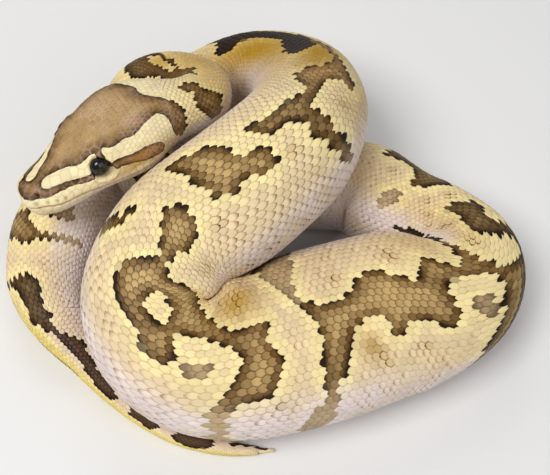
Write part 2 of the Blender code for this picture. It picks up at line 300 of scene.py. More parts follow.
class Chart:
    """The finished surface: place and normal by distance from the snout and part of the way round.

    The way round starts at the middle of the belly and goes up the animal's left flank (0.25) to
    the middle of the back (0.5) and down the right flank (0.75).
    """

    def __init__(self):
        body = Body()
        body.press()
        kept = body.points()[::2, ::2].reshape(-1, 3)
        middle = 0.5 * (kept.min(0) + kept.max(0))
        self.shift = np.array((middle[0], middle[1], 0.0))
        self.last = body.along[-1]
        rows = int(self.last / CHART_STEP)
        self.along = np.linspace(0.0, self.last, rows + 1)
        axis = np.stack([np.interp(self.along, body.along, body.axis[:, k]) for k in range(3)], 1)
        self.axis = smooth_rows(axis, 10) - self.shift
        self.tangent, self.left, self.up = frames(self.axis, self.along)
        offset = section(self.along, self.last, self.left, self.up, CHART_SIDES)
        kept_part = smooth_round(smooth_rows(body.reach / body.whole, 1), 1)
        repeat = CHART_SIDES // PRESS_SIDES
        turned = np.concatenate([kept_part, kept_part[:, :1]], 1)
        finer = np.arange(CHART_SIDES) / repeat
        turned = np.stack([np.interp(finer, np.arange(PRESS_SIDES + 1), row) for row in turned])
        part = np.stack([np.interp(self.along, body.along, turned[:, k]) for k in range(CHART_SIDES)], 1)
        part = smooth_round(smooth_rows(part, 12), 8)
        place = self.axis[:, None] + offset * part[..., None]
        place[..., 2] = np.maximum(place[..., 2], 0.0)
        self.resample(np.roll(place, CHART_SIDES // 4, 1))

    def resample(self, place):
        """Spread the columns evenly round the girth, from the belly, with the back turned."""
        closed = np.concatenate([place, place[:, :1]], 1)
        steps = np.linalg.norm(np.diff(closed, axis=1), axis=2)
        arc = np.concatenate([np.zeros((len(place), 1)), np.cumsum(steps, 1)], 1)
        self.girth = arc[:, -1]
        table = np.array(BACK_TURN)
        turn = smooth_rows(np.interp(self.along, table[:, 0], table[:, 1]), 200)
        even = np.arange(CHART_SIDES) / CHART_SIDES
        rows = []
        for row, length, ring, lean in zip(arc, self.girth, closed, turn):
            wanted = np.mod(even + lean, 1.0) * length
            rows.append(np.stack([np.interp(wanted, row, ring[:, k]) for k in range(3)], 1))
        self.place = np.array(rows)
        around = np.roll(self.place, -1, 1) - np.roll(self.place, 1, 1)
        normal = np.cross(np.gradient(self.place, axis=0), around)
        normal /= np.maximum(np.linalg.norm(normal, axis=2), 1e-9)[..., None]
        outward = self.place - self.place.mean(1)[:, None]
        self.normal = normal * np.sign(np.einsum("ijk,ijk->ij", normal, outward).mean())

    def look_up(self, grid, along, way):
        """Values of a grid between its rows and columns."""
        row = np.clip(along / self.last * (len(grid) - 1), 0.0, len(grid) - 1.001)
        column = np.mod(way, 1.0) * CHART_SIDES
        i, j = row.astype(int), column.astype(int) % CHART_SIDES
        f, g = (row - i)[:, None], (column - np.floor(column))[:, None]
        j2 = (j + 1) % CHART_SIDES
        near = grid[i, j] * (1 - g) + grid[i, j2] * g
        far = grid[i + 1, j] * (1 - g) + grid[i + 1, j2] * g
        return near * (1 - f) + far * f

    def point(self, along, way, lift):
        """Places in mm, lifted off the surface along its normal."""
        normal = self.look_up(self.normal, along, way)
        normal /= np.maximum(np.linalg.norm(normal, axis=1), 1e-9)[:, None]
        return self.look_up(self.place, along, way) + normal * np.reshape(lift, (-1, 1))


chart = Chart()


def link(name, data):
    """An object of its own in the scene."""
    piece = bpy.data.objects.new(name, data)
    bpy.context.scene.collection.objects.link(piece)
    return piece


def show(bm, name):
    """Make an object of a bmesh, shaded smooth."""
    mesh = bpy.data.meshes.new(name)
    bm.to_mesh(mesh)
    bm.free()
    for face in mesh.polygons:
        face.use_smooth = True
    return link(name, mesh)


def tidy_mesh(mesh, join=0.0, close=False):
    """Join the points that meet, close open ends, and turn every face outwards."""
    bm = bmesh.new()
    bm.from_mesh(mesh)
    if join:
        bmesh.ops.remove_doubles(bm, verts=bm.verts, dist=join)
    if close:
        rims = [edge for edge in bm.edges if edge.is_boundary]
        bmesh.ops.holes_fill(bm, edges=rims, sides=0)
    bmesh.ops.recalc_face_normals(bm, faces=bm.faces)
    for face in bm.faces:
        face.smooth = True
    bm.to_mesh(mesh)
    bm.free()


def repeated(piece, arrays):
    """The mesh of a piece set out in rows, each with its number of copies and the step between them."""
    for count, step in arrays:
        array = piece.modifiers.new("array", "ARRAY")
        array.count = count
        array.use_relative_offset = False
        array.use_constant_offset = True
        array.constant_offset_displace = step
    mesh = bpy.data.meshes.new_from_object(piece.evaluated_get(bpy.context.evaluated_depsgraph_get()))
    bpy.data.objects.remove(piece, do_unlink=True)
    return mesh


def read_points(mesh):
    """The points of a mesh as an array."""
    flat = np.empty(len(mesh.vertices) * 3)
    mesh.vertices.foreach_get("co", flat)
    return flat.reshape(-1, 3)


def move_points(bm, places):
    """Put every point of a bmesh in its place, in mm."""
    for vertex, place in zip(bm.verts, places * MM):
        vertex.co = place


def girth_at(along):
    """The whole way round the body, in mm."""
    return np.interp(along, chart.along, chart.girth)


def round_from_back(along, way):
    """Distance round the body from the middle of the back, less than nothing on the left."""
    return (np.mod(way, 1.0) - 0.5) * girth_at(along)


def hill(ahead, aside=0.0):
    """A soft hill: 1 in its middle, and near nothing two of its reaches away."""
    return np.exp(-ahead ** 2 - aside ** 2)


def ease(value, low, high):
    """0 below low, 1 above high, with soft ends."""
    part = np.clip((value - low) / (high - low), 0.0, 1.0)
    return part * part * (3.0 - 2.0 * part)


# The markings. Brown patches with dark rims on a cream ground, pale lilac down the flanks: colour
# in the hide itself, so skin and scales share it; three outlines, marked below, are darkened partly
# or wholly as painted shade. Each outline is drawn as the distance from the snout and the distance
# round the body from the middle of the back, left side first, in mm. The number before an outline
# darkens its brown, and fades it where it is less than nothing.
BROWN = {
    "crown": (0.15, [
        (1.2, -1.2), (1.6, -3.0), (2.6, -4.6), (4, -6), (6, -7.4), (10.5, -8.7), (13, -9.7), (16, -11.6),
        (19, -12.8), (20, -11), (21, -9), (22.4, -8.6), (22.8, -10.5), (24.8, -10.5),
        (24.6, -8.6), (25.5, -7.2), (27, -8.8),
        (29, -9.5), (32, -9.3), (34, -10.2), (36, -10), (38, -9), (40, -8.3), (42, -7.5),
        (43.5, -7), (45, -8), (45.7, -10), (46, -13), (47, -15), (49, -15.5), (50, -14),
        (50.5, -10), (50, -7.2), (49.5, -5), (48, -3.7), (46, -2.2), (44, -0.8), (42.5, 0.5),
        (41.8, 2.5), (42, 4.5), (40.5, 7.5), (39.5, 10), (38.5, 13), (34, 13), (30, 12),
        (26, 10.5), (23, 8.5), (20, 9), (18.5, 10), (16, 11), (13, 9.6), (10, 8.2), (6, 6.8),
        (3, 4.4), (1.6, 3), (1.2, 1)]),
    "behind_left_eye": (0.05, [
        (23, -12.6), (25.5, -12.2), (28, -12.7), (31, -14.1), (35, -14.5), (40, -14.8), (42, -15.7),
        (42, -17.5), (40.5, -19), (37, -19), (33.5, -18.3), (31, -16.8), (28, -15.6), (25.5, -14.6),
        (23, -13.8)]),
    "behind_right_eye": (0.05, [
        (25.5, 13.3), (28, 12.9), (31, 15.1), (36, 15.5), (41, 16), (42, 18.5), (40, 20.5),
        (36, 20), (32, 18.3), (28, 16.2), (25.8, 15)]),
    "neck_spots": (0.35, [
        (51, 0.5), (52.5, -1.5), (54.3, -3), (53.6, -5), (53.6, -7), (55, -9.8), (56.5, -12),
        (58.5, -13), (60, -11), (60, -7), (59, -4.7), (57.2, -3.8), (57, -1), (56, 1.2), (54, 1.7)]),
    "first_turn": (0.6, [
        (60.5, 1), (63, 4), (67, 1.5), (70, 1.5), (72, 3.2), (76, 2.5), (80, 0), (84, -3),
        (86, -7), (90, -9), (93, -8), (95.5, 0), (93, 3), (88, 4.5), (80, 7), (70, 8), (62, 8)]),
    "under_head": (0.2, [
        (104, -9), (112, -13), (119, -8), (124, -11), (130, -5), (126, 3), (117, 6), (109, 2)]),
    "first_inner": (0.1, [
        (142, -12), (150, -16), (158, -12), (166, -14), (171, -6), (166, 4), (156, 8), (147, 2)]),
    "upper_right": (0.5, [
        (193.6, 6), (193.7, 1), (194, -0.8), (195.6, -1.2), (197, 0.6), (200, 2), (203, 1.4),
        (206, -0.2), (206.5, -3), (206.2, -6.2), (207.2, -7), (209.5, -6), (212, -3.6),
        (214.5, -1), (216, 1.5), (215.5, 5), (209, 8), (200, 8.5)]),
    "right_wedge": (-0.5, [
        (201.5, -14.5), (203, -18.5), (205.5, -17), (206.5, -13), (206, -10), (204.5, -10), (203, -12)]),
    # a dark line along the crease where this length meets the next: partly painted shade, partly the brown
    # arm of right_net that it runs into
    "right_crease": (0.95, [
        (241, -20), (238, -23), (234, -23.2), (228, -21.8), (222, -20), (214, -19.8), (209, -20.6),
        (209, -21.8), (216, -21.9), (222, -21.9), (228, -24), (234, -25.8), (240, -26.5), (243.5, -24),
        (243, -21)]),
    # its brown made darker as painted shade, for the right side of the hairpin bend, turned from the light
    "right_hook": (0.55, [
        (220.2, -9.4), (221.6, -10.2), (224, -9.4), (226.5, -9.3), (228.6, -10.6), (230.6, -11.9),
        (232.8, -11.8), (233.4, -9.5), (233.6, -6), (232.9, -3), (232.6, 0), (232.4, 3),
        (234.5, 5.2), (237, 4.5), (239.5, 6), (242, 9), (244.5, 12), (247, 16.5), (249.3, 21),
        (252, 31), (246, 27), (241, 20), (238.5, 14), (236, 9.5), (233, 7.5), (230, 5),
        (229.6, 2), (229.8, -0.5), (229, -2.2), (227.5, -2.3), (226.3, -1), (225, 0.2),
        (223.6, -0.4), (222.6, -2.5), (221.8, -5), (220.6, -7.5)]),
    "right_net": (0.0, [
        (237, -44), (241, -45), (242.5, -38), (242.5, -30), (243.3, -24), (242.4, -20),
        (242.3, -17), (243.5, -14), (244.8, -11), (246.5, -9.3), (248, -9.5), (250, -11),
        (252.5, -12.8), (255, -13.1), (256.3, -12), (256.7, -9.5), (257.6, -6), (258.4, -5),
        (260.3, -4.9), (263, -5.5), (267, -7.8), (270, -8.4), (273, -7.6), (275, -5.5),
        (277, -2.5), (280, -0.5), (284, 0.3), (287, 0.1), (289.5, -1.4), (291.5, -3),
        (293, -4), (292, 0), (290.5, 3), (290, 7), (290.4, 11), (291, 14), (291.8, 17.5),
        (293, 20.5), (292.4, 22.5), (293.5, 26), (297, 29), (299.5, 34), (300, 41), (294, 42),
        (292, 35), (290.2, 29), (289.8, 25), (288.4, 22), (286.5, 19), (285, 16), (283.5, 13),
        (281.5, 10.2), (279, 8.3), (277, 7), (274.8, 6.4), (272.4, 7), (271.2, 8.7), (272, 11),
        (271.5, 12.8), (269.5, 12.4), (267, 10.6), (265, 9.1), (263, 8.1), (260, 7.5),
        (258.5, 8), (257, 8.9), (255.5, 9.4), (253.6, 8.7), (252.2, 6.3), (251.8, 3), (252.3, 0),
        (252.8, -3), (251.8, -4.8), (249, -4.4), (246, -5.1), (243.5, -4.8), (242, -3), (241.8, 0),
        (242.6, 3), (243.6, 6), (244.8, 9), (246.5, 13), (248.5, 18), (251, 26), (247, 27),
        (243.5, 19), (240.5, 13), (238.5, 9), (237, 7), (234.8, 5.6), (235.4, 3.6), (237.5, 1),
        (239, -2.5), (240, -6), (240.6, -10), (240.2, -14), (240.6, -17), (240.2, -21),
        (239.5, -27), (238.5, -36)]),
    "front_arm": (-0.45, [
        (291, -2), (292.2, -4.5), (291.8, -8), (290.5, -12), (289.5, -16), (288, -22), (291, -26),
        (299, -24), (300, -18), (298.9, -12.5), (297.2, -10), (295.8, -7.5), (294.3, -5), (293, -2)]),
    # painted shade: dark brown low on the left flank, by the crease with the coil beside it
    "front_shade": (0.6, [
        (284, -26), (290, -22.5), (296, -18.5), (301, -17), (302, -21), (296, -27), (288, -31)]),
    "left_net": (0.0, [
        (301.5, -1.8), (304, -0.8), (309.5, 0.7), (312.3, 0.3), (314.5, -1.1), (316, -2.9),
        (318.6, -5.2), (321.4, -7.5), (325, -10.2), (329.5, -12), (334, -14.7), (338.6, -16.5),
        (342.3, -18), (345, -18.8), (347, -17), (346.6, -13), (347.3, -10), (349.5, -8.5),
        (352.7, -8.5), (356.4, -9.4), (358.2, -11.2), (361, -12.9), (364.5, -13.2), (367.7, -12.2),
        (369.8, -10.3), (369.6, -6.2), (368.2, -3.5), (366.4, -0.5), (363.6, -0.9), (361, -2.4),
        (358.2, -3.9), (355.5, -4.8), (352.7, -4.4), (351, -3), (350.5, 0.2), (349.5, 4.3),
        (344, 4.4), (339.5, 4.8), (335, 5.3), (332.3, 6.6), (329.5, 8.7), (326.8, 10), (325, 9),
        (324.8, 6.2), (325.4, 3.5), (326.4, 1.2), (325.5, -0.2), (323.2, -0.6), (320.5, 0.3),
        (316.8, 1.6), (314, 3.9), (311, 6.6), (310, 8.5), (311.2, 10.7), (312.3, 13.5),
        (314.2, 16), (316.5, 18.6), (318, 21), (316, 22.5),
        (314, 22), (312.8, 20.4), (310, 20), (306, 19.6), (304, 18), (302.6, 15.6),
        (301.5, 13), (301.6, 10.4), (302.6, 8), (303, 5), (302.6, 1.6)]),
    "left_arm": (-0.55, [
        (312.5, 20.5), (315, 20), (317.6, 20.5), (317, 23), (316.6, 27), (316.6, 33), (316.5, 40),
        (313.2, 40), (313.4, 33), (313.5, 27), (313, 23)]),
    "arch_dot": (-0.4, [
        (244.8, 4), (245.2, 2), (246.5, 1), (248.2, 1.8), (249.2, 4), (248.8, 7.5), (247.2, 8.8),
        (245.6, 7)]),
    "left_spot": (-0.45, [
        (317, 8.5), (318.6, 6.7), (321, 6.6), (322, 8.6), (320.6, 11), (319, 12.6), (317.4, 11.4)]),
    "heart": (0.0, [
        (375, -6.2), (376.4, -8), (378.2, -9.3), (380, -8.9), (381.2, -7), (382.7, -7.5),
        (384.5, -9.4), (387.3, -10.5), (389.3, -9), (390.2, -6.2), (390.4, -3.6), (388.2, -2.2),
        (385.5, -1), (384, 0.6), (383.6, 3.8), (382.7, 6.5), (380, 8.8), (377.3, 10.2),
        (373.6, 10.8), (370, 10.4), (371, 8.2), (373.2, 6), (374, 2), (374.5, -1.6)]),
    "side_streak": (0.3, [
        (359.8, 7.2), (357.3, 8), (355.3, 10.4), (353.6, 12.3), (351.5, 14.6), (350.6, 17),
        (351.2, 19.8), (354.6, 19.6), (355.7, 14.9), (357.5, 11.3), (359.4, 9.5)]),
    "coil_fork": (0.15, [
        (389.8, 5), (390.3, 2), (392.7, -0.9), (395.5, -1.8), (397.3, -0.9), (399.2, -3),
        (399.8, -5.3), (398.4, -8.9), (399.3, -11.6), (399.8, -15.3), (400.4, -19), (402.3, -25),
        (404.2, -25), (403, -18), (403, -13.5), (404.2, -9.8), (403.8, -6.2), (403.4, -3.7),
        (405.5, -3.4), (409, -3.7), (412.7, -2.9), (416.4, -3.2), (418.4, -4.6), (419.2, -7.1),
        (417.5, -10.3), (416.6, -12.3), (419.8, -12), (422, -9.1), (424.7, -7.3), (428.2, -5.5),
        (431, -3.7), (434.5, -2.7), (438.2, -1), (443, 1.5), (444, 3), (441, 3.3), (436, 0),
        (430, -2.2), (426.6, -1), (424.7, 0.5), (423.4, 2.8), (421.2, 5), (417.3, 6.2),
        (413.7, 5), (412, 2.8), (410, 0.9), (406.4, 0.7), (403.8, 1.4), (401.2, 3.4),
        (397.3, 4), (393.6, 4.7)]),
    "top_bend": (1.0, [
        (441, 2), (443, 1.5), (450, 2.5), (458, 3.2), (463, 1.5), (467, -3), (472, -6), (476, -2),
        (473.5, 3), (471.5, 6), (473.3, 10), (471.5, 12.2), (468.5, 12.2), (465.5, 9.6), (461, 8.6),
        (456.4, 9), (451, 8.6), (447.3, 10), (443.6, 12.3), (440, 13.8), (436, 13.2), (434, 11),
        (434.2, 8.4), (436.4, 6.3), (439, 4.5)]),
    "far_run": (0.3, [
        (484, 8), (489, 12), (496, 11), (502, 6), (509, 8), (514, 3), (511, -5), (503, -9),
        (495, -6), (489, -9), (484, -2)]),
    "far_flank_1": (0.2, [
        (446, -26), (454, -30), (462, -25), (470, -27), (474, -20), (466, -16), (456, -19), (449, -17)]),
    "far_flank_2": (0.2, [(486, -24), (494, -28), (503, -24), (508, -17), (500, -16), (490, -16)]),
    "left_band": (0.05, [
        (545, -16), (553, -20), (559, -18), (560, -8), (560, -2), (561.7, 0.5), (563.7, 5),
        (562.4, 8), (562, 12), (562, 24), (560.4, 24), (559.8, 12), (559, 9), (557, 6),
        (554.5, 4.5), (552.2, 4), (553.5, 0), (552, -6), (546, -10)]),
    "left_inner": (0.2, [(540, 8), (547, 6), (552, 8), (555.5, 12), (555, 20), (549, 17), (543, 18)]),
    "left_far": (0.2, [(521, -4), (528, -8), (536, -5), (540, 0), (536, 5), (529, 3), (523, 5)]),
    "tail_stripe": (0.6, [
        (570, -6.5), (571.5, -6.5), (573, -0.5), (575, 0.8), (578, -0.2), (580.5, -1.6),
        (583.5, -1), (587, 0.8), (592, 1.6), (596, 1.8), (601, 0.8), (606, -0.3), (610, -0.6),
        (613, -0.3), (615, 1), (612, 3), (605, 3.4), (599, 4.4), (596, 5.8), (593, 5.6),
        (591.5, 4.2), (589.5, 3.2), (586, 3.7), (582, 4.9), (578, 5.2), (576, 6.8), (574.3, 7.3),
        (572.3, 6.2), (570.8, 3.5), (571.2, 1), (571, -2)]),
    "tail_dash_1": (0.6, [
        (619.5, 3.6), (619, 0.5), (620.5, -1.2), (624, -0.8), (627, -1.2), (629, 0.4), (628.5, 3.6)]),
    "tail_dash_2": (0.6, [
        (633.5, 3.6), (633.5, 0), (635.5, -1.5), (640, -1.4), (643.5, -0.6), (645, 1.2), (643, 3.6)]),
    "tail_tip": (0.6, [
        (648, 2.2), (650, 1.2), (652, 2.3), (653.5, 0.9), (655.5, 2.0), (657.5, 0.4), (660, 0.2),
        (660, 2.0), (655, 3), (650, 3)]),
    "tail_edge": (0.6, [
        (585, -7.2), (588, -5.6), (594, -4.6), (601, -3.9), (602, -4.8), (594, -6), (588, -8)]),
}
LIGHT = {
    "left_brow_stripe": [
        (5.8, -4.2), (7.3, -5.3), (10, -6.5), (13, -7.8), (16, -9.6), (18.5, -10.6), (20.3, -9.6),
        (22.5, -8.6), (23, -7), (20.5, -6.8), (18, -6.8), (16, -5.6), (13.5, -3.9), (10.5, -2.9),
        (8, -2), (6.2, -2.6)],
    "right_brow_stripe": [
        (3.2, 2.2), (4, 0.8), (5.5, 0.3), (7.5, 1), (9.5, 2), (12, 2.8), (13.5, 4.4), (15, 5.4),
        (16.5, 6.6), (18.4, 8.4), (17, 9.3), (14, 7.2), (11, 5), (8, 4), (5, 3.4)],
    "left_net_hole": [
        (330.3, -1.5), (331.8, -4), (335, -5.8), (338.6, -6.7), (341.2, -6.2), (340.7, -3.4),
        (337.7, -0.9), (334, 0.9), (331.2, 1)],
    "olive_eye": [(75.5, 3.2), (80, 1.4), (84, -1), (87.5, -5), (88.5, -3), (87, 0.8), (83, 2.9), (79, 4)],
}
FOLDS = [
    # mm from the snout, mm round, reach along, reach round, height: where a bend bunches the hide,
    # and where the hide of the head lies lower or higher than the plain tube
    (307, -8.5, 5.5, 4.5, 2.0), (315.5, -9, 2.2, 5, -0.9), (312, -16.5, 6, 5, 2.2),
    (347, -23, 7, 5, 1.8), (335, -15, 7, 5, 1.2), (9, 10, 7, 6, -1.2), (21.5, 8, 4.5, 3, 0.35),
]
SPECKS = [
    # mm from the snout, mm round from the middle of the back, reach: ghosts of more patches
    (263.5, -13.4, 3.2), (280, -7.5, 3.0), (277.7, 15.3, 3.4), (262.3, 15.2, 2.4), (275, 19, 2.0),
    (360.5, -20, 2.4), (356, -18.5, 2.0), (372.7, -13.5, 2.0), (393.6, -9, 2.2), (410.5, -11.6, 2.4),
    (371.8, -32.5, 2.6), (377.7, -30.7, 2.4), (388.2, -31.6, 2.6), (364.5, -33.5, 2.4),
    (309.5, -8, 3.6), (315, -11, 2.0), (199, -5.5, 2.0), (218, -3.5, 2.2), (218.5, -13.5, 1.6),
    (228, -16, 2.6), (236, -12.5, 2.4), (222, -17, 1.6), (214, -9, 1.8), (247, 6.5, 2.0),
    (456, 28, 3.0), (463, 28, 3.0), (467.5, 20, 2.2), (304, 23, 2.0), (340, 28, 3.0),
]
GOLD = [
    # mm from the snout, mm round, reach along, reach round, strength: where the cream turns ochre
    (433, 3, 13, 9, 1.0), (455, 15, 28, 10, 1.0), (310, -7.5, 7, 5, 0.8), (278, 14, 3, 4, 0.5),
    (72, -2, 16, 8, 0.7), (222, -15, 20, 7, 0.30), (84, 0, 6, 4, 0.8), (252, -22, 12, 9, 0.35),
    (420, -16, 10, 8, 0.35), (500, 0, 26, 22, 0.30), (110, 0, 18, 14, 0.30), (34, -17, 8, 2, 0.9),
    (34, 17.5, 8, 2, 0.9),
]
SPECK_SPREAD = 0.6 ** 0.5   # how far a speck fades out, in its reaches
GOLD_SPREAD = 0.8 ** -0.5   # and a golden place
OUTLINE_REACH = 8.0         # mm out from an outline up to which its distance is worked out
OUTLINE_BATCH = 4000        # points worked out at a time
# mm from the snout, and the part of the way from back to belly at which the flank turns lilac
BELLY_FROM_LEFT = [
    (0, 0.52), (44, 0.48), (60, 0.32), (240, 0.32), (258, 0.34), (270, 0.27), (285, 0.25), (300, 0.27),
    (320, 0.34), (372, 0.34), (390, 0.30), (430, 0.30), (560, 0.30), (600, 0.34), (620, 0.6), (661, 0.6),
]
BELLY_FROM_RIGHT = [
    (0, 0.52), (44, 0.48), (60, 0.32), (230, 0.30), (262, 0.30), (310, 0.28), (330, 0.22),
    (400, 0.22), (430, 0.30), (560, 0.30), (600, 0.34), (620, 0.6), (661, 0.6),
]
BELLY_FADE = 0.13           # part of that way over which the lilac comes in
HEAD_PALE = (46.0, 56.0)    # mm from the snout over which the paler cream of the head ends
TAIL_FROM = 570.0           # mm from the snout where the tail turns yellow outside, lilac inside
TAIL_LILAC_FADE = 25.0      # mm over which each of the two comes in
TAIL_YELLOW_FADE = 15.0
TAIL_PARTING = -0.8         # mm round from the middle of the back where they meet
TAIL_LILAC_EDGE = 1.667     # mm round over which each is full
TAIL_YELLOW_EDGE = 1.25


def rounded(outline):
    """An outline with its corners cut twice."""
    ring = np.array(outline, float)
    for _ in range(2):
        after = np.roll(ring, -1, 0)
        ring = np.stack([0.75 * ring + 0.25 * after, 0.25 * ring + 0.75 * after], 1).reshape(-1, 2)
    return ring


def depth_inside(outline, along, round_back):
    """How far points lie inside an outline in mm, and less than nothing outside it."""
    ring = rounded(outline)
    edge = np.roll(ring, -1, 0) - ring
    low, high = ring.min(0) - OUTLINE_REACH, ring.max(0) + OUTLINE_REACH
    close = (along > low[0]) & (along < high[0]) & (round_back > low[1]) & (round_back < high[1])
    depth = np.full(len(along), -OUTLINE_REACH)
    found = np.nonzero(close)[0]
    for some in np.array_split(found, len(found) // OUTLINE_BATCH + 1):
        x = along[some, None] - ring[:, 0]
        y = round_back[some, None] - ring[:, 1]
        part = np.clip((x * edge[:, 0] + y * edge[:, 1]) / (edge ** 2).sum(1), 0.0, 1.0)
        gap = np.hypot(x - part * edge[:, 0], y - part * edge[:, 1])
        spans = (y < 0.0) != (y - edge[:, 1] < 0.0)
        steep = np.where(edge[:, 1] == 0.0, 1.0, edge[:, 1])
        crossed = (spans & (x < y / steep * edge[:, 0])).sum(1) % 2 == 1
        depth[some] = np.where(crossed, 1.0, -1.0) * gap.min(1)
    return np.maximum(depth, -OUTLINE_REACH)


def brown_depth(along, way):
    """How deep points lie in the brown, and how dark the brown is there."""
    round_back = round_from_back(along, way)
    rim = np.full(len(along), -OUTLINE_REACH)
    shade = np.zeros(len(along))
    for tone, outline in BROWN.values():
        depth = depth_inside(outline, along, round_back)
        shade = np.where(depth > rim, tone, shade)
        rim = np.maximum(rim, depth)
    for outline in LIGHT.values():
        rim = np.minimum(rim, -depth_inside(outline, along, round_back))
    return rim, shade


def mark(mesh, along, way, jitter):
    """Write the markings on the points of a mesh, for the materials to read."""
    rim, shade = brown_depth(along, way)
    round_back = round_from_back(along, way)
    speck = np.zeros(len(along))
    for place, beside, reach in SPECKS:
        reach *= SPECK_SPREAD
        speck += hill((along - place) / reach, (round_back - beside) / reach)
    gold = np.zeros(len(along))
    for place, beside, length, width, strength in GOLD:
        ahead = (along - place) / (length * GOLD_SPREAD)
        aside = (round_back - beside) / (width * GOLD_SPREAD)
        gold = np.maximum(gold, strength * hill(ahead, aside))
    down = 2.0 * np.abs(np.mod(way, 1.0) - 0.5)
    start_left = np.interp(along, *zip(*BELLY_FROM_LEFT))
    start_right = np.interp(along, *zip(*BELLY_FROM_RIGHT))
    start = np.where(round_back < 0.0, start_left, start_right)
    on_tail = along - TAIL_FROM
    from_parting = round_back - TAIL_PARTING
    fields = {
        "rim": rim + jitter,
        "ink_rim": rim,
        "shade": shade,
        "speck": np.minimum(speck, 1.0),
        "gold": gold,
        "belly": part_of(down - start, BELLY_FADE),
        "milky": part_of(HEAD_PALE[1] - along, HEAD_PALE[1] - HEAD_PALE[0]),
        "pink": part_of(on_tail, TAIL_LILAC_FADE) * part_of(from_parting, TAIL_LILAC_EDGE),
        "yellow": part_of(on_tail, TAIL_YELLOW_FADE) * part_of(-from_parting, TAIL_YELLOW_EDGE),
    }
    for name, values in fields.items():
        note(mesh, name, values)


def part_of(value, whole):
    """A value as a part of a whole, from 0 to 1."""
    return np.clip(value / whole, 0.0, 1.0)


def swell(along, way):
    """How far the hide stands out where a bend bunches it, in mm."""
    round_back = round_from_back(along, way)
    height = np.zeros(len(along))
    for place, beside, length, width, rise in FOLDS:
        height += rise * hill((along - place) / length, (round_back - beside) / width)
    return height


def note(mesh, name, values):
    """Keep one number for each point of a mesh."""
    if name not in mesh.attributes:
        mesh.attributes.new(name, "FLOAT", "POINT")
    mesh.attributes[name].data.foreach_set("value", np.asarray(values, np.float32).ravel())


def paint(red, green, blue):
    """A paint given as it looks, as the shaders want it."""
    return tuple((part / 255.0) ** 2.2 for part in (red, green, blue)) + (1.0,)


def add(tree, kind, inputs=(), **settings):
    """A node with its settings, and its inputs as values or as sockets to join to."""
    made = tree.nodes.new(kind)
    for name, value in settings.items():
        setattr(made, name, value)
    for key, value in dict(inputs).items():
        if isinstance(value, bpy.types.NodeSocket):
            tree.links.new(value, made.inputs[key])
        else:
            made.inputs[key].default_value = value
    return made


def stored(tree, name):
    """A number kept on the points of the mesh."""
    return add(tree, "ShaderNodeAttribute", attribute_name=name).outputs["Fac"]


def between(tree, value, low, high):
    """0 below low, 1 above high, and an even rise between."""
    made = add(tree, "ShaderNodeMapRange", {"Value": value, "From Min": low, "From Max": high})
    return made.outputs["Result"]


def sums(tree, kind, first, second):
    """One sum of two numbers."""
    return add(tree, "ShaderNodeMath", {0: first, 1: second}, operation=kind).outputs[0]


def times(tree, first, *others):
    """The product of some numbers."""
    for other in others:
        first = sums(tree, "MULTIPLY", first, other)
    return first


def rest_of(tree, value, whole=1.0):
    """What is left of a whole."""
    return sums(tree, "SUBTRACT", whole, value)


def over(tree, part, below, above):
    """One colour laid over another."""
    return add(tree, "ShaderNodeMix", {0: part, 6: below, 7: above}, data_type="RGBA").outputs[2]


def layers(tree, colour, laid):
    """Colours laid over one another in turn, each with its part."""
    for part, above in laid:
        colour = over(tree, part, colour, above)
    return colour


def grain(tree, scale, detail):
    """Fine unevenness, about 0.5, in the object's own space."""
    space = add(tree, "ShaderNodeTexCoord").outputs["Object"]
    made = add(tree, "ShaderNodeTexNoise", {"Vector": space, "Scale": scale, "Detail": detail})
    return made.outputs["Fac"]


def new_group(name, inputs, outputs):
    """An empty node group with named sockets."""
    tree = bpy.data.node_groups.new(name, "ShaderNodeTree")
    for title, kind, value in inputs:
        socket = tree.interface.new_socket(title, in_out="INPUT", socket_type="NodeSocket" + kind)
        socket.default_value = value
    for title, kind in outputs:
        tree.interface.new_socket(title, in_out="OUTPUT", socket_type="NodeSocket" + kind)
    return tree, tree.nodes.new("NodeGroupInput"), tree.nodes.new("NodeGroupOutput")


CREAM = paint(244, 224, 164)
BEIGE = paint(232, 208, 166)
LILAC = paint(232, 217, 212)
OCHRE = paint(178, 136, 22)
MILK = paint(240, 228, 190)
AMBER = paint(172, 118, 50)
ROSE = paint(210, 186, 178)
YELLOW = paint(238, 214, 112)
FADED_BROWN = paint(192, 166, 128)
PLUM = paint(112, 82, 72)
ROSY_BROWN = paint(190, 146, 120)
SAND = paint(192, 160, 106)
BROWN_HIDE = paint(108, 80, 42)
DEEP_BROWN = paint(42, 27, 11)
INK = paint(22, 13, 7)
ASH = paint(192, 168, 134)
LIP_RED = paint(158, 92, 64)
# a mid brown: the seams between the face's plates on the cream, and painted shade at the scales' outlines and
# free ends
SEAM_AND_SHADE_BROWN = paint(138, 100, 56)

hide, given, result = new_group(
    "hide_colour", [("Net", "Float", 0.5), ("Veins", "Float", 0.0), ("Ragged", "Float", 0.5)],
    [("Colour", "Color")])
free_end = stored(hide, "free_end")
own_tone = stored(hide, "own_tone")
speck = stored(hide, "speck")
belly = stored(hide, "belly")
shade = stored(hide, "shade")
gold = stored(hide, "gold")
milky = stored(hide, "milky")
pink = stored(hide, "pink")
net = given.outputs["Net"]
cloud = grain(hide, 90.0, 3.0)
ragged = times(hide, sums(hide, "SUBTRACT", grain(hide, 900.0, 2.0), 0.5), given.outputs["Ragged"])
rim = sums(hide, "ADD", stored(hide, "rim"), ragged)
inside = between(hide, rim, -0.01, 0.01)
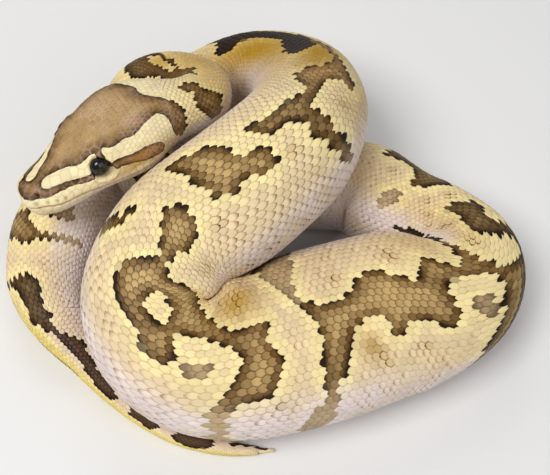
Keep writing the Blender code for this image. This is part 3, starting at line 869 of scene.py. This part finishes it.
# painted shade where the scales overlap: arc is each scale's free end and line its outline; both are darkened
# below, on the cream (stronger on some scales at random) and on the brown
arc = between(hide, free_end, 0.62, 0.95)
scale_rim = between(hide, stored(hide, "scale_rim"), 0.7, 1.0)
line = sums(hide, "MAXIMUM", scale_rim, between(hide, free_end, 0.78, 0.93))
far_out = rest_of(hide, between(hide, rim, -5.0, -2.0))
free_end_shade = times(hide, arc, far_out, net, between(hide, own_tone, -0.6, 1.4))
ghost = times(hide, between(hide, speck, 0.2, 0.6), line, between(hide, own_tone, -1.2, 0.0), 0.9)
vein = times(hide, stored(hide, "crease"), given.outputs["Veins"])
light_brown = rest_of(hide, shade)
dust = between(hide, grain(hide, 3200.0, 2.0), 0.54, 0.62)
blush = between(hide, grain(hide, 420.0, 3.0), 0.45, 0.6)
faded = times(hide, belly, 0.85, light_brown)
pale = times(hide, shade, -1.0)
washed = sums(hide, "MAXIMUM", faded, pale)
# painted shade at the scales' free ends and outlines, laid on the brown
dark_arc = sums(hide, "MAXIMUM", times(hide, arc, 0.35), times(hide, line, 0.6))
near_rim = rest_of(hide, between(hide, stored(hide, "ink_rim"), 0.0, 0.9))
ground = layers(hide, BEIGE, [
    (between(hide, rim, -4.5, -1.0), CREAM),
    (times(hide, belly, between(hide, cloud, 0.2, 0.5)), LILAC),
    (times(hide, milky, 0.55), MILK),
    (times(hide, pink, 0.7), ROSE),
    (times(hide, stored(hide, "yellow"), 0.8), YELLOW),
    (gold, OCHRE),
    (times(hide, line, net, 0.24), SEAM_AND_SHADE_BROWN),
    (free_end_shade, SEAM_AND_SHADE_BROWN),
    (times(hide, speck, 0.35), OCHRE),
    (ghost, DEEP_BROWN),
    (times(hide, vein, 0.6), SEAM_AND_SHADE_BROWN),
])
brown = layers(hide, BROWN_HIDE, [
    (between(hide, rim, 0.7, 4.2), SAND),
    (times(hide, pink, 0.7), PLUM),
    (shade, DEEP_BROWN),
    (times(hide, dust, milky, 0.35), DEEP_BROWN),
    (times(hide, blush, milky, 0.35), ROSY_BROWN),
    (times(hide, gold, light_brown, 0.8), AMBER),
    (faded, ASH),
    (times(hide, pale, 1.6), FADED_BROWN),
    (times(hide, dark_arc, rest_of(hide, times(hide, washed, 0.55))), DEEP_BROWN),
    (times(hide, near_rim, rest_of(hide, washed, 0.9)), INK),
    (times(hide, vein, between(hide, cloud, 0.42, 0.62)), ROSE),
])
# deep lays INK in the nostrils and heat pits: painted shade in those hollows
colour = layers(hide, ground, [(inside, brown), (stored(hide, "lip"), LIP_RED), (stored(hide, "deep"), INK)])
unevenness = sums(hide, "ADD", times(hide, cloud, 0.26), times(hide, own_tone, 0.05))
shaded = add(hide, "ShaderNodeHueSaturation", {"Value": sums(hide, "ADD", 0.86, unevenness), "Color": colour})
hide.links.new(shaded.outputs["Color"], result.inputs["Colour"])


# net sets how strongly the painted shade at the scales' outlines and free ends shows on the cream
def hide_material(name, net, roughness, coat, dust, depth, veins=0.0, ragged=0.6):
    """A finish for skin or scales: the markings, with a fine grain that dulls and lifts it."""
    made = bpy.data.materials.new(name)
    made.use_nodes = True
    tree = made.node_tree
    shader = tree.nodes["Principled BSDF"]
    pattern = add(tree, "ShaderNodeGroup", {}, node_tree=hide)
    pattern.inputs["Net"].default_value = net
    pattern.inputs["Veins"].default_value = veins
    pattern.inputs["Ragged"].default_value = ragged
    fine = grain(tree, dust, 3.0)
    ends = {"To Min": roughness - 0.1, "To Max": roughness + 0.15}
    dull = add(tree, "ShaderNodeMapRange", {"Value": fine, **ends})
    bump = add(tree, "ShaderNodeBump", {"Height": fine, "Strength": 0.35, "Distance": depth * MM})
    tree.links.new(pattern.outputs["Colour"], shader.inputs["Base Color"])
    tree.links.new(dull.outputs["Result"], shader.inputs["Roughness"])
    tree.links.new(bump.outputs["Normal"], shader.inputs["Normal"])
    shader.inputs["Specular IOR Level"].default_value = 0.12
    shader.inputs["Coat Weight"].default_value = coat
    shader.inputs["Coat Roughness"].default_value = 0.3
    return made


# The unwrap of the hide, for its colours to be kept on: the body cut in two lengths, laid one
# above the other, with a small patch of its own for each scale.
UNWRAP_LENGTH = 331.0       # mm of body in each of the two
PATCH = 0.003               # how wide one scale's own patch is on the unwrap


def unwrap(mesh, along, way, beside=0.0):
    """Give each point its place on the unwrap of the skin's own shape."""
    upper = along >= UNWRAP_LENGTH
    across = (along - np.where(upper, UNWRAP_LENGTH, 0.0)) / UNWRAP_LENGTH
    rise = np.where(upper, 0.75, 0.25) + (way - 0.5) * girth_at(along) / UNWRAP_LENGTH
    flat = np.stack([across, rise], 1) + beside
    corner = np.empty(len(mesh.loops), np.int32)
    mesh.loops.foreach_get("vertex_index", corner)
    layer = mesh.uv_layers.new(name="OFBake")
    layer.data.foreach_set("uv", flat[corner].astype(np.float32).ravel())


# The skin. Thin soft hide under the scales, whole from the lips to the tip of the tail. It takes
# the place of all the lengths of flesh and lies inside them by the depth of the scales.
SKIN_DEPTH = 0.35           # mm under the surface of the solids
SKIN_STEP = 1.25            # mm between its rings of SKIN_SIDES points
SKIN_SIDES = 110
SKIN_UNDER_FACE = 0.45      # mm it lies deeper under the face
SKIN_ENDS = (0.02, 0.3)     # mm it stays short of the snout and of the tip of the tail
NOSE_LENGTH = 3.0           # mm over which the snout rounds off
NOSE_OUT = 0.9              # mm the tip of the snout stands before the solids' flat end
FLESH = [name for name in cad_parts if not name.startswith("eye_")]


def on_body(along, way, lift):
    """Places in mm on the body, with the end of the snout rounded to a point on its axis."""
    kept = np.maximum(along, NOSE_LENGTH)
    place = chart.point(kept, way, lift + swell(kept, way))
    turn = np.clip(along / NOSE_LENGTH, 0.0, 1.0) * 0.5 * math.pi
    ahead = chart.tangent[0]
    tip = chart.axis[0] - ahead * NOSE_OUT
    forward = (place - tip) @ ahead
    aside = (place - tip) - forward[:, None] * ahead
    nose = tip + np.outer(forward * (1.0 - np.cos(turn)), ahead) + aside * np.sin(turn)[:, None]
    place = np.where((along < NOSE_LENGTH)[:, None], nose, place)
    place[:, 2] = np.maximum(place[:, 2], 0.0)
    return place


def sheet_on_body(name, first, last, rows, sides, lift):
    """A sheet laid round the body between two distances, and the chart places of its points.

    The lift is worked out from those places, and what it gives besides is kept on the points.
    """
    bm = bmesh.new()
    bmesh.ops.create_grid(bm, x_segments=rows, y_segments=sides, size=0.5)
    flat = np.array([vertex.co[:] for vertex in bm.verts])
    along = first + (flat[:, 0] + 0.5) * (last - first)
    way = flat[:, 1] + 0.5
    height, known = lift(along, way)
    move_points(bm, on_body(along, way, height))
    piece = show(bm, name)
    mark(piece.data, along, way, 0.0)
    for title, values in known.items():
        note(piece.data, title, values)
    unwrap(piece.data, along, way)
    return piece


EYES = {name: np.mean(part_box(name), axis=0) / MM for name in ("eye_left", "eye_right")}
EYE_RADIUS = 3.1
RIM_REACH = 3.7             # mm from the middle of an eye to the rim of small plates round it
SOCKET_REACH = (2.5, 3.3)   # mm from the middle of an eye to the foot and the brink of its socket
HEAD_END = 50.0             # mm from the snout where the face passes into the neck
OUTWARD = {"eye_left": chart.left[0], "eye_right": -chart.left[0]}


def beside_eye(place, name):
    """Distance from the line out through an eye, and far more than that on the other side."""
    reach = place - EYES[name]
    out = reach @ OUTWARD[name]
    return np.linalg.norm(reach - np.outer(out, OUTWARD[name]), axis=1) + 50.0 * (out < -2.0)


def socket(place):
    """How far the surface is drawn in under the eyes, and the rim of small plates round them."""
    drawn = np.zeros(len(place))
    for name in EYES:
        beside = beside_eye(place, name)
        drawn += 0.35 * hill((beside - RIM_REACH) / 0.5) - 1.9 * (1.0 - ease(beside, *SOCKET_REACH))
    return drawn


def skin_lift(along, way):
    """The skin lies a scale's depth in, and deeper under the face."""
    lift = np.full(len(along), -SKIN_DEPTH)
    head = along < HEAD_END
    under = np.minimum(socket(on_body(along[head], way[head], 0.0)), 0.0)
    lift[head] -= SKIN_UNDER_FACE * (1.0 - ease(along[head], 42.0, HEAD_END)) - under
    return lift, {}


skin_last = chart.last - SKIN_ENDS[1]
skin_rows = int(round((skin_last - SKIN_ENDS[0]) / SKIN_STEP))
skin = sheet_on_body("skin", SKIN_ENDS[0], skin_last, skin_rows, SKIN_SIDES, skin_lift)
tidy_mesh(skin.data, 1e-7, True)
skin.data.materials.append(hide_material("soft_skin", 0.3, 0.6, 0.0, 2500.0, 0.05))
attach(skin, "root")
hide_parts(*FLESH)


# The face. The head's shields: small plates of horn that meet in fine creases, larger between the
# eyes and along the lips, with the nostrils, the heat pits, the mouth and a rim round each eye.
LIP_LINE = [
    # mm back from the snout, mm round from the middle of the back
    (0, 4.4), (2, 6.8), (4, 9.2), (8, 12), (14, 14.1), (20, 17.6), (27, 20.6), (38, 22),
]
MOUTH_END = 37.5            # mm back to the corner of the mouth
LIP_PLATES = 16             # on each lip and side
LIP_PLATE = 2.3             # mm along the lips from one plate to the next
LIP_HEIGHT = 2.6
CROWN_PLATE = 2.0           # mm between the large plates on top, and the small ones elsewhere
CROWN_END = 26.0            # mm back and to each side up to which they are large
CROWN_SIDE = 8.5
CHEEK_PLATE = 1.55
NAPE_PLATE = 1.3            # mm between the small scales behind, in rows
NAPE_FROM = 31.5
NAPE_ROWS = 16
NAPE_SIDE = 17              # mm to each side, in columns from the middle out to NAPE_COLUMNS
NAPE_COLUMNS = 34
CREASE = 0.16               # mm deep, and how quickly it shallows
CREASE_REACH = 0.22
MOUTH = (0.75, 0.30)        # mm deep, mm half wide
LIP_SWELL = (0.22, 1.3, 1.0)                # mm high, mm over the mouth, mm half wide
PITS = [(2.4, 1.5), (4.7, 1.6), (7.0, 1.6), (9.3, 1.5)]        # mm back, mm over the mouth
PIT = (0.5, 0.42, 0.55)     # mm deep, mm half long, mm half high
NOSTRIL_AT = (3.4, 4.4)     # mm back, mm over the mouth
NOSTRIL = (0.8, 0.6, 0.6)   # as a pit
CHEEK_AT = (12.5, 4.6)      # the long hollow before each eye
CHEEK = (0.45, 5.0, 1.3)
BROW = (0.9, 3.6, 1.1, 4.5)                 # mm high, mm over the eye, mm half high, mm half long
FACE_GRID = 0.24            # mm between the points of the sheet
plates = np.random.default_rng(11)


def over_mouth(along, way):
    """How far points lie over the line of the lips, in mm along the hide."""
    table = smooth_rows(np.array([(x, np.interp(x, *zip(*LIP_LINE))) for x in range(40)]), 3)
    return np.interp(along, table[:, 0], table[:, 1]) - np.abs(way - 0.5) * girth_at(along)


def plate_roots():
    """The middle of each plate of the face: distance from the snout, and round from the back."""
    roots = []
    for side in (-1.0, 1.0):
        for level in (0.5 * LIP_HEIGHT, -0.5 * LIP_HEIGHT):
            for step in range(LIP_PLATES):
                along = 1.2 + step * LIP_PLATE
                ways = 0.5 + side * np.linspace(0.1, 0.5, 160)
                lips = over_mouth(np.full(160, along), ways)
                found = ways[np.argmin(np.abs(lips - level))]
                roots.append((along, (found - 0.5) * girth_at(along)))
    for row in range(NAPE_ROWS):
        for column in range(-NAPE_COLUMNS, NAPE_COLUMNS + 1):
            beside = (column + 0.5 * (row % 2)) * NAPE_PLATE
            if abs(beside) < NAPE_SIDE:
                roots.append((NAPE_FROM + row * NAPE_PLATE, beside))
    kept = np.array(roots)
    kept[:, 0] += 0.08 * plates.standard_normal(len(kept))
    tries = np.stack([plates.uniform(0.0, HEAD_END, 7000), plates.uniform(-45.0, 45.0, 7000)], 1)
    for root in tries:
        on_crown = abs(root[1]) < CROWN_SIDE and root[0] < CROWN_END
        apart = CROWN_PLATE if on_crown else CHEEK_PLATE
        if np.hypot(*(kept - root).T).min() > apart:
            kept = np.vstack([kept, root])
    return kept


def nearest_plates(roots, along, round_back):
    """The plate each point belongs to, and how far it lies from the border with the next."""
    tree = KDTree(len(roots))
    for number, root in enumerate(roots):
        tree.insert((root[0], root[1], 0.0), number)
    tree.balance()
    near = [tree.find_n((x, y, 0.0), 2) for x, y in zip(along, round_back)]
    own = np.array([hits[0][1] for hits in near])
    return own, np.array([hits[1][2] - hits[0][2] for hits in near])


def brows(place):
    """How near points lie to the ridge over an eye."""
    _, over_eye, half_high, half_long = BROW
    ridge = np.zeros(len(place))
    for name in EYES:
        reach = place - EYES[name]
        above = (reach @ chart.up[0] - over_eye) / half_high
        beside = np.abs(reach @ OUTWARD[name]) < 5.0
        ridge += hill(above, reach @ chart.tangent[0] / half_long) * beside
    return ridge


def face_lift(along, way):
    """The relief of the face in mm, and what its materials need to know."""
    roots = plate_roots()
    own, border = nearest_plates(roots, along, (way - 0.5) * girth_at(along))
    behind = along - roots[own, 0]
    height = over_mouth(along, way)
    lips = 1.0 - ease(along, MOUTH_END - 3.0, MOUTH_END)
    crease = np.exp(-border / CREASE_REACH)
    mouth = hill(height / MOUTH[1]) * lips
    lip_swell = hill((height - LIP_SWELL[1]) / LIP_SWELL[2]) * lips
    pits = sum(hill((along - back) / PIT[1], (height - level) / PIT[2]) for back, level in PITS)
    nostril = hill((along - NOSTRIL_AT[0]) / NOSTRIL[1], (height - NOSTRIL_AT[1]) / NOSTRIL[2])
    cheek = hill((along - CHEEK_AT[0]) / CHEEK[1], (height - CHEEK_AT[1]) / CHEEK[2])
    chin = hill(np.minimum(way, 1.0 - way) / 0.006) * ease(along, 4.0, 7.0) * (1 - ease(along, 20.0, 26.0))
    place = on_body(along, way, 0.0)
    relief = 0.12 - CREASE * crease + 0.07 * behind / NAPE_PLATE * ease(along, 26.0, 34.0)
    relief += LIP_SWELL[0] * lip_swell - MOUTH[0] * mouth - PIT[0] * pits
    relief += BROW[0] * brows(place) - NOSTRIL[0] * nostril - CHEEK[0] * cheek
    relief += socket(place) - 0.3 * chin - 0.6 * ease(along, HEAD_END - 4.0, HEAD_END)
    tone = plates.standard_normal(len(roots))[own]
    return relief * ease(along, -0.5, 1.0), {
        "crease": crease,
        # painted shade for the nostrils and heat pits
        "deep": np.maximum(nostril, 0.4 * np.minimum(pits, 1.0)),
        "lip": hill((height - 0.1) / 0.38) * lips * (0.45 + 0.5 * np.exp(-border / 0.6)),
        "free_end": np.clip(0.5 + behind / NAPE_PLATE * 0.8, 0.0, 1.0) * ease(along, 28.0, 33.0),
        "own_tone": np.clip(tone, -2.0, 2.0),
    }


face_sides = int(chart.girth[chart.along < HEAD_END].max() / FACE_GRID)
face = sheet_on_body("face", 0.0, HEAD_END, int(HEAD_END / FACE_GRID), face_sides, face_lift)
tidy_mesh(face.data, 1e-6)
face.data.materials.append(hide_material("head_shields", 0.25, 0.44, 0.08, 4000.0, 0.015, 0.55))
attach(face, "root")


# The eyes. Dark balls under a clear fixed shield as hard as a fingernail, with an upright slit.
PUPIL = (0.16, 0.62)        # half the slit's width and height, in radii
EYE_FLAT = 0.74             # how much the shield is flattened outwards
EYE_SUNK = {"eye_left": 0.5, "eye_right": 1.2}     # mm deeper than the solids' balls


def make_eye(name):
    """One eye in its place, with its own looking direction kept on its points."""
    bm = bmesh.new()
    bmesh.ops.create_uvsphere(bm, u_segments=48, v_segments=32, radius=1.0)
    out, up = OUTWARD[name], chart.up[0]
    ahead = np.cross(up, out)
    flat = np.array([vertex.co[:] for vertex in bm.verts])
    stretch = np.where(flat[:, 2] > 0.0, EYE_FLAT, 1.0)
    local = flat * EYE_RADIUS
    place = EYES[name] + np.outer(local[:, 0], ahead) + np.outer(local[:, 1], up)
    place = place + np.outer(local[:, 2] * stretch - EYE_SUNK[name], out)
    move_points(bm, place)
    bmesh.ops.recalc_face_normals(bm, faces=bm.faces)
    piece = show(bm, "finished_" + name)
    inner_half = flat[:, 2] < 0.0
    slit = np.hypot(flat[:, 0] / PUPIL[0], flat[:, 1] / PUPIL[1])
    note(piece.data, "slit", np.maximum(slit, 3.0 * inner_half))
    note(piece.data, "from_middle", np.hypot(flat[:, 0], flat[:, 1]) + inner_half)
    return piece


eye_material = bpy.data.materials.new("dark_eye")
eye_material.use_nodes = True
tree = eye_material.node_tree
shader = tree.nodes["Principled BSDF"]
iris = layers(tree, paint(24, 26, 20), [
    (grain(tree, 2500.0, 3.0), paint(62, 64, 46)),
    (between(tree, stored(tree, "from_middle"), 0.42, 0.80), paint(16, 16, 14)),
    (between(tree, stored(tree, "slit"), 1.25, 0.9), paint(5, 5, 6)),
])
tree.links.new(iris, shader.inputs["Base Color"])
shader.inputs["Roughness"].default_value = 0.18
shader.inputs["Specular IOR Level"].default_value = 0.3
shader.inputs["Coat Weight"].default_value = 0.5
shader.inputs["Coat Roughness"].default_value = 0.03
for name in EYES:
    eye = make_eye(name)
    eye.data.materials.append(eye_material)
    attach(eye, "root")
    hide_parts(name)


# The scales. Small smooth plates of horn in slanting rows, each with its free end towards the tail
# and laid over the ones behind it. They are made flat, laid out as a sheet, and wrapped on.
BELLY_HALF = 0.075          # half the belly plates' width, as a part of the way round
SCALE_SPANS = [
    # name, from mm, to mm, rows along, columns round
    ("scales_neck", 46.0, 128.0, 62, 42), ("scales_front", 128.0, 236.0, 56, 56),
    ("scales_middle", 236.0, 330.0, 45, 56), ("scales_coil", 330.0, 424.0, 45, 56),
    ("scales_rear", 424.0, 583.0, 78, 54), ("scales_tail", 583.0, 657.0, 52, 26),
]
SCALE_LENGTH = 0.74         # half the length and half the width, in spacings of the sheet
SCALE_WIDTH = 0.66
SCALE_POINTED = 1.55        # the outline's power: 1 is a rhomb, 2 is round
SCALE_ROOT = 0.10           # mm of the head end, the crown and the free end over the skin
SCALE_FREE = 0.27
SCALE_CROWN = 0.04
SCALE_UNDER = 0.1           # mm its underside lies in the skin
SCALE_INSET = 0.34          # width of its bevel, as a part of its half width
SCALE_POINTS = 25           # points of one scale
SCALE_VARY = (0.05, 0.015, 0.12)    # spread of size, of lift in mm, and of its own edge of the brown
wobble = np.random.default_rng(7)
horn = hide_material("horn_scales", 0.8, 0.46, 0.05, 3500.0, 0.02, 0.0, 0.0)


def add_scale(bm, row, column):
    """One closed scale in the sheet: x towards the tail, y round the body, z off the skin."""
    rim = bmesh.ops.create_circle(bm, cap_ends=True, segments=8, radius=1.0)["verts"]
    for vertex in rim:
        power = 2.0 / SCALE_POINTED
        x, y = vertex.co.x, vertex.co.y
        vertex.co = (math.copysign(abs(x) ** power, x), math.copysign(abs(y) ** power, y), -SCALE_UNDER)
    base = rim[0].link_faces[0]
    raised = bmesh.ops.extrude_face_region(bm, geom=[base])["geom"]
    lid = next(part for part in raised if isinstance(part, bmesh.types.BMFace))
    for vertex in lid.verts:
        slope = 0.5 + 0.5 * vertex.co.x
        vertex.co.z = SCALE_ROOT + (SCALE_FREE - SCALE_ROOT) * slope
    bmesh.ops.inset_individual(bm, faces=[lid], thickness=SCALE_INSET)
    for vertex in lid.verts:
        vertex.co.z += SCALE_CROWN
    middle = bmesh.ops.poke(bm, faces=[lid])["verts"]
    for vertex in middle:
        vertex.co.z += 0.3 * SCALE_CROWN
    whole = [vertex for vertex in bm.verts if not vertex.tag]
    for vertex in whole:
        vertex.co.x = vertex.co.x * SCALE_LENGTH + row
        vertex.co.y = vertex.co.y * SCALE_WIDTH + column
        vertex.tag = True


def scale_sheet(rows, columns):
    """A flat sheet of scales, every other column set half a row back."""
    bm = bmesh.new()
    add_scale(bm, 0.0, 0.0)
    add_scale(bm, 0.5, 1.0)
    return repeated(show(bm, "scale_pair"), [(rows, (1.0, 0.0, 0.0)), (columns // 2, (0.0, 2.0, 0.0))])


def wrap_scales(name, first, last, rows, columns):
    """A span of scales wrapped round the body."""
    mesh = scale_sheet(rows, columns)
    flat = read_points(mesh).reshape(-1, SCALE_POINTS, 3)
    root = 0.5 * (flat.min(1) + flat.max(1))[:, None]
    local = flat - root
    free_end = 0.5 + 0.5 * local[..., 0] / SCALE_LENGTH
    outward = (np.abs(local[..., 0]) / SCALE_LENGTH) ** SCALE_POINTED
    outward += (np.abs(local[..., 1]) / SCALE_WIDTH) ** SCALE_POINTED
    size_vary, lift_vary, edge_vary = SCALE_VARY
    size = 1.0 + size_vary * wobble.standard_normal((len(flat), 1))
    local[..., :2] *= size[..., None]
    spacing = (last - first) / rows

    def lay(points):
        along = first + points[..., 0] * spacing
        way = BELLY_HALF + (points[..., 1] + 0.5) / columns * (1.0 - 2.0 * BELLY_HALF)
        return along.ravel(), way.ravel()

    along, way = lay(root + local)
    lift = flat[..., 2] - SKIN_DEPTH + lift_vary * wobble.standard_normal((len(flat), 1))
    place = on_body(along, way, lift.ravel()) * MM
    mesh.vertices.foreach_set("co", place.ravel())
    own = wobble.standard_normal((len(flat), 1))
    middle_along, middle_way = lay(np.repeat(root, SCALE_POINTS, 1))
    mark(mesh, middle_along, middle_way, edge_vary * np.repeat(own, SCALE_POINTS, 1).ravel())
    note(mesh, "ink_rim", brown_depth(along, way)[0])
    note(mesh, "own_tone", np.repeat(np.clip(own, -2.0, 2.0), SCALE_POINTS, 1))
    # free_end and scale_rim place the painted shade at each scale's free end and outline
    note(mesh, "free_end", free_end)
    note(mesh, "scale_rim", outward)
    unwrap(mesh, middle_along, middle_way, 0.5 * PATCH * local[..., :2].reshape(-1, 2))
    mesh.update()
    mesh.name = name
    mesh.materials.append(horn)
    return link(name, mesh)


for name, first, last, rows, columns in SCALE_SPANS:
    coat = wrap_scales(name, first, last, rows, columns)
    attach(coat, "root")


# The belly plates. One row of broad smooth plates from the throat to the tail, each with its free
# edge towards the tail, on which the animal rests and creeps.
PLATE_PITCH = 2.9           # mm from plate to plate
PLATE_FIRST = 30.0          # mm from the snout, and mm short of the tip of the tail
PLATE_LAST = 6.0
PLATE_RISE = (0.02, 0.30)   # mm of the fixed and the free edge over the skin
PLATE_UNDER = 0.15          # mm the underside lies in the skin
PLATE_LENGTH = 1.16         # with its overlap, as a part of the pitch
PLATE_BOW = 0.35            # how far its ends run forward, as a part of the pitch
PLATE_OVER = 0.012          # how far it reaches under the scales, as a part of the way round
PLATE_SEGMENTS = 8


def make_belly():
    """All the plates as one mesh, closed slabs laid over one another."""
    bm = bmesh.new()
    bmesh.ops.create_cube(bm, size=1.0)
    rails = [edge for edge in bm.edges if abs(edge.verts[0].co.y - edge.verts[1].co.y) > 0.5]
    bmesh.ops.subdivide_edges(bm, edges=rails, cuts=PLATE_SEGMENTS - 1)
    count = int((chart.last - PLATE_LAST - PLATE_FIRST) / PLATE_PITCH)
    mesh = repeated(show(bm, "belly_plate"), [(count, (2.0, 0.0, 0.0))])
    flat = read_points(mesh)
    number = np.round(flat[:, 0] / 2.0)
    ahead = flat[:, 0] - 2.0 * number
    middle = PLATE_FIRST + PLATE_PITCH * (number + 0.5)
    along = middle + PLATE_PITCH * (PLATE_LENGTH * ahead - PLATE_BOW * np.abs(flat[:, 1]))
    way = np.mod(2.0 * flat[:, 1] * (BELLY_HALF + PLATE_OVER), 1.0)
    top = np.where(ahead > 0.0, PLATE_RISE[1], PLATE_RISE[0])
    lift = -SKIN_DEPTH + np.where(flat[:, 2] > 0.0, top, -PLATE_UNDER)
    place = chart.point(along, way, lift) * MM
    place[:, 2] = np.maximum(place[:, 2], 0.0)
    mesh.vertices.foreach_set("co", place.ravel())
    mark(mesh, along, way, 0.0)
    note(mesh, "belly", np.full(len(along), 1.0))
    note(mesh, "free_end", 0.5 + ahead)
    note(mesh, "own_tone", np.interp(number, np.arange(300), wobble.standard_normal(300)))
    unwrap(mesh, middle, np.full(len(along), 0.02), PATCH * np.stack([ahead, flat[:, 1] * 6.0], 1))
    tidy_mesh(mesh)
    mesh.name = "belly_plates"
    return link("belly_plates", mesh)


belly_plates = make_belly()
belly_plates.data.materials.append(hide_material("belly_horn", 0.3, 0.35, 0.2, 2000.0, 0.02))
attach(belly_plates, "root")


# The floor, the light and the camera. A plain pale studio floor, three large soft lamps and a soft
# sky, seen from above the front of the coil.
VIEW_TILT = math.radians(57.0)      # how far the camera looks down
VIEW_DISTANCE = 315.0               # mm
VIEW_TARGET = np.array((0.0, 0.0, 15.0)) - chart.shift
LENS = 68.727                       # mm, on a sensor 36 mm wide

bm = bmesh.new()
bmesh.ops.create_grid(bm, x_segments=1, y_segments=1, size=4.0)
floor = show(bm, "floor")
floor_material = bpy.data.materials.new("studio_floor")
floor_material.use_nodes = True
floor_shader = floor_material.node_tree.nodes["Principled BSDF"]
floor_shader.inputs["Base Color"].default_value = (0.8, 0.8, 0.8, 1.0)
floor_shader.inputs["Roughness"].default_value = 0.7
floor.data.materials.append(floor_material)


def soft_lamp(name, place, size, watts, colour):
    """A square soft lamp that faces the middle of the coil."""
    lamp = bpy.data.lights.new(name, "AREA")
    lamp.size = size
    lamp.energy = watts
    lamp.color = colour
    holder = link(name, lamp)
    holder.location = place
    holder.rotation_euler = (-Vector(place)).to_track_quat("-Z", "Y").to_euler()


soft_lamp("key_lamp", (-0.38, -0.30, 0.80), 0.45, 5.8, (1.0, 0.98, 0.95))
soft_lamp("fill_lamp", (0.45, -0.55, 0.55), 0.7, 1.9, (0.98, 0.99, 1.0))
soft_lamp("back_lamp", (-0.1, 0.7, 0.6), 0.6, 1.8, (1.0, 0.99, 0.97))
world = bpy.data.worlds.new("studio")
world.use_nodes = True
sky = world.node_tree.nodes["Background"]
sky.inputs["Color"].default_value = (0.95, 0.97, 1.0, 1.0)
sky.inputs["Strength"].default_value = 0.27
bpy.context.scene.world = world

camera_data = bpy.data.cameras.new("camera")
camera_data.sensor_width = 36.0
camera_data.lens = LENS
camera_data.clip_start = 0.01
camera = link("camera", camera_data)
back = np.array((0.0, -math.cos(VIEW_TILT), math.sin(VIEW_TILT))) * VIEW_DISTANCE
camera.location = (VIEW_TARGET + back) * MM
camera.rotation_euler = (math.radians(90.0) - VIEW_TILT, 0.0, 0.0)
bpy.context.scene.camera = camera
bpy.context.scene.view_settings.view_transform = "Standard"
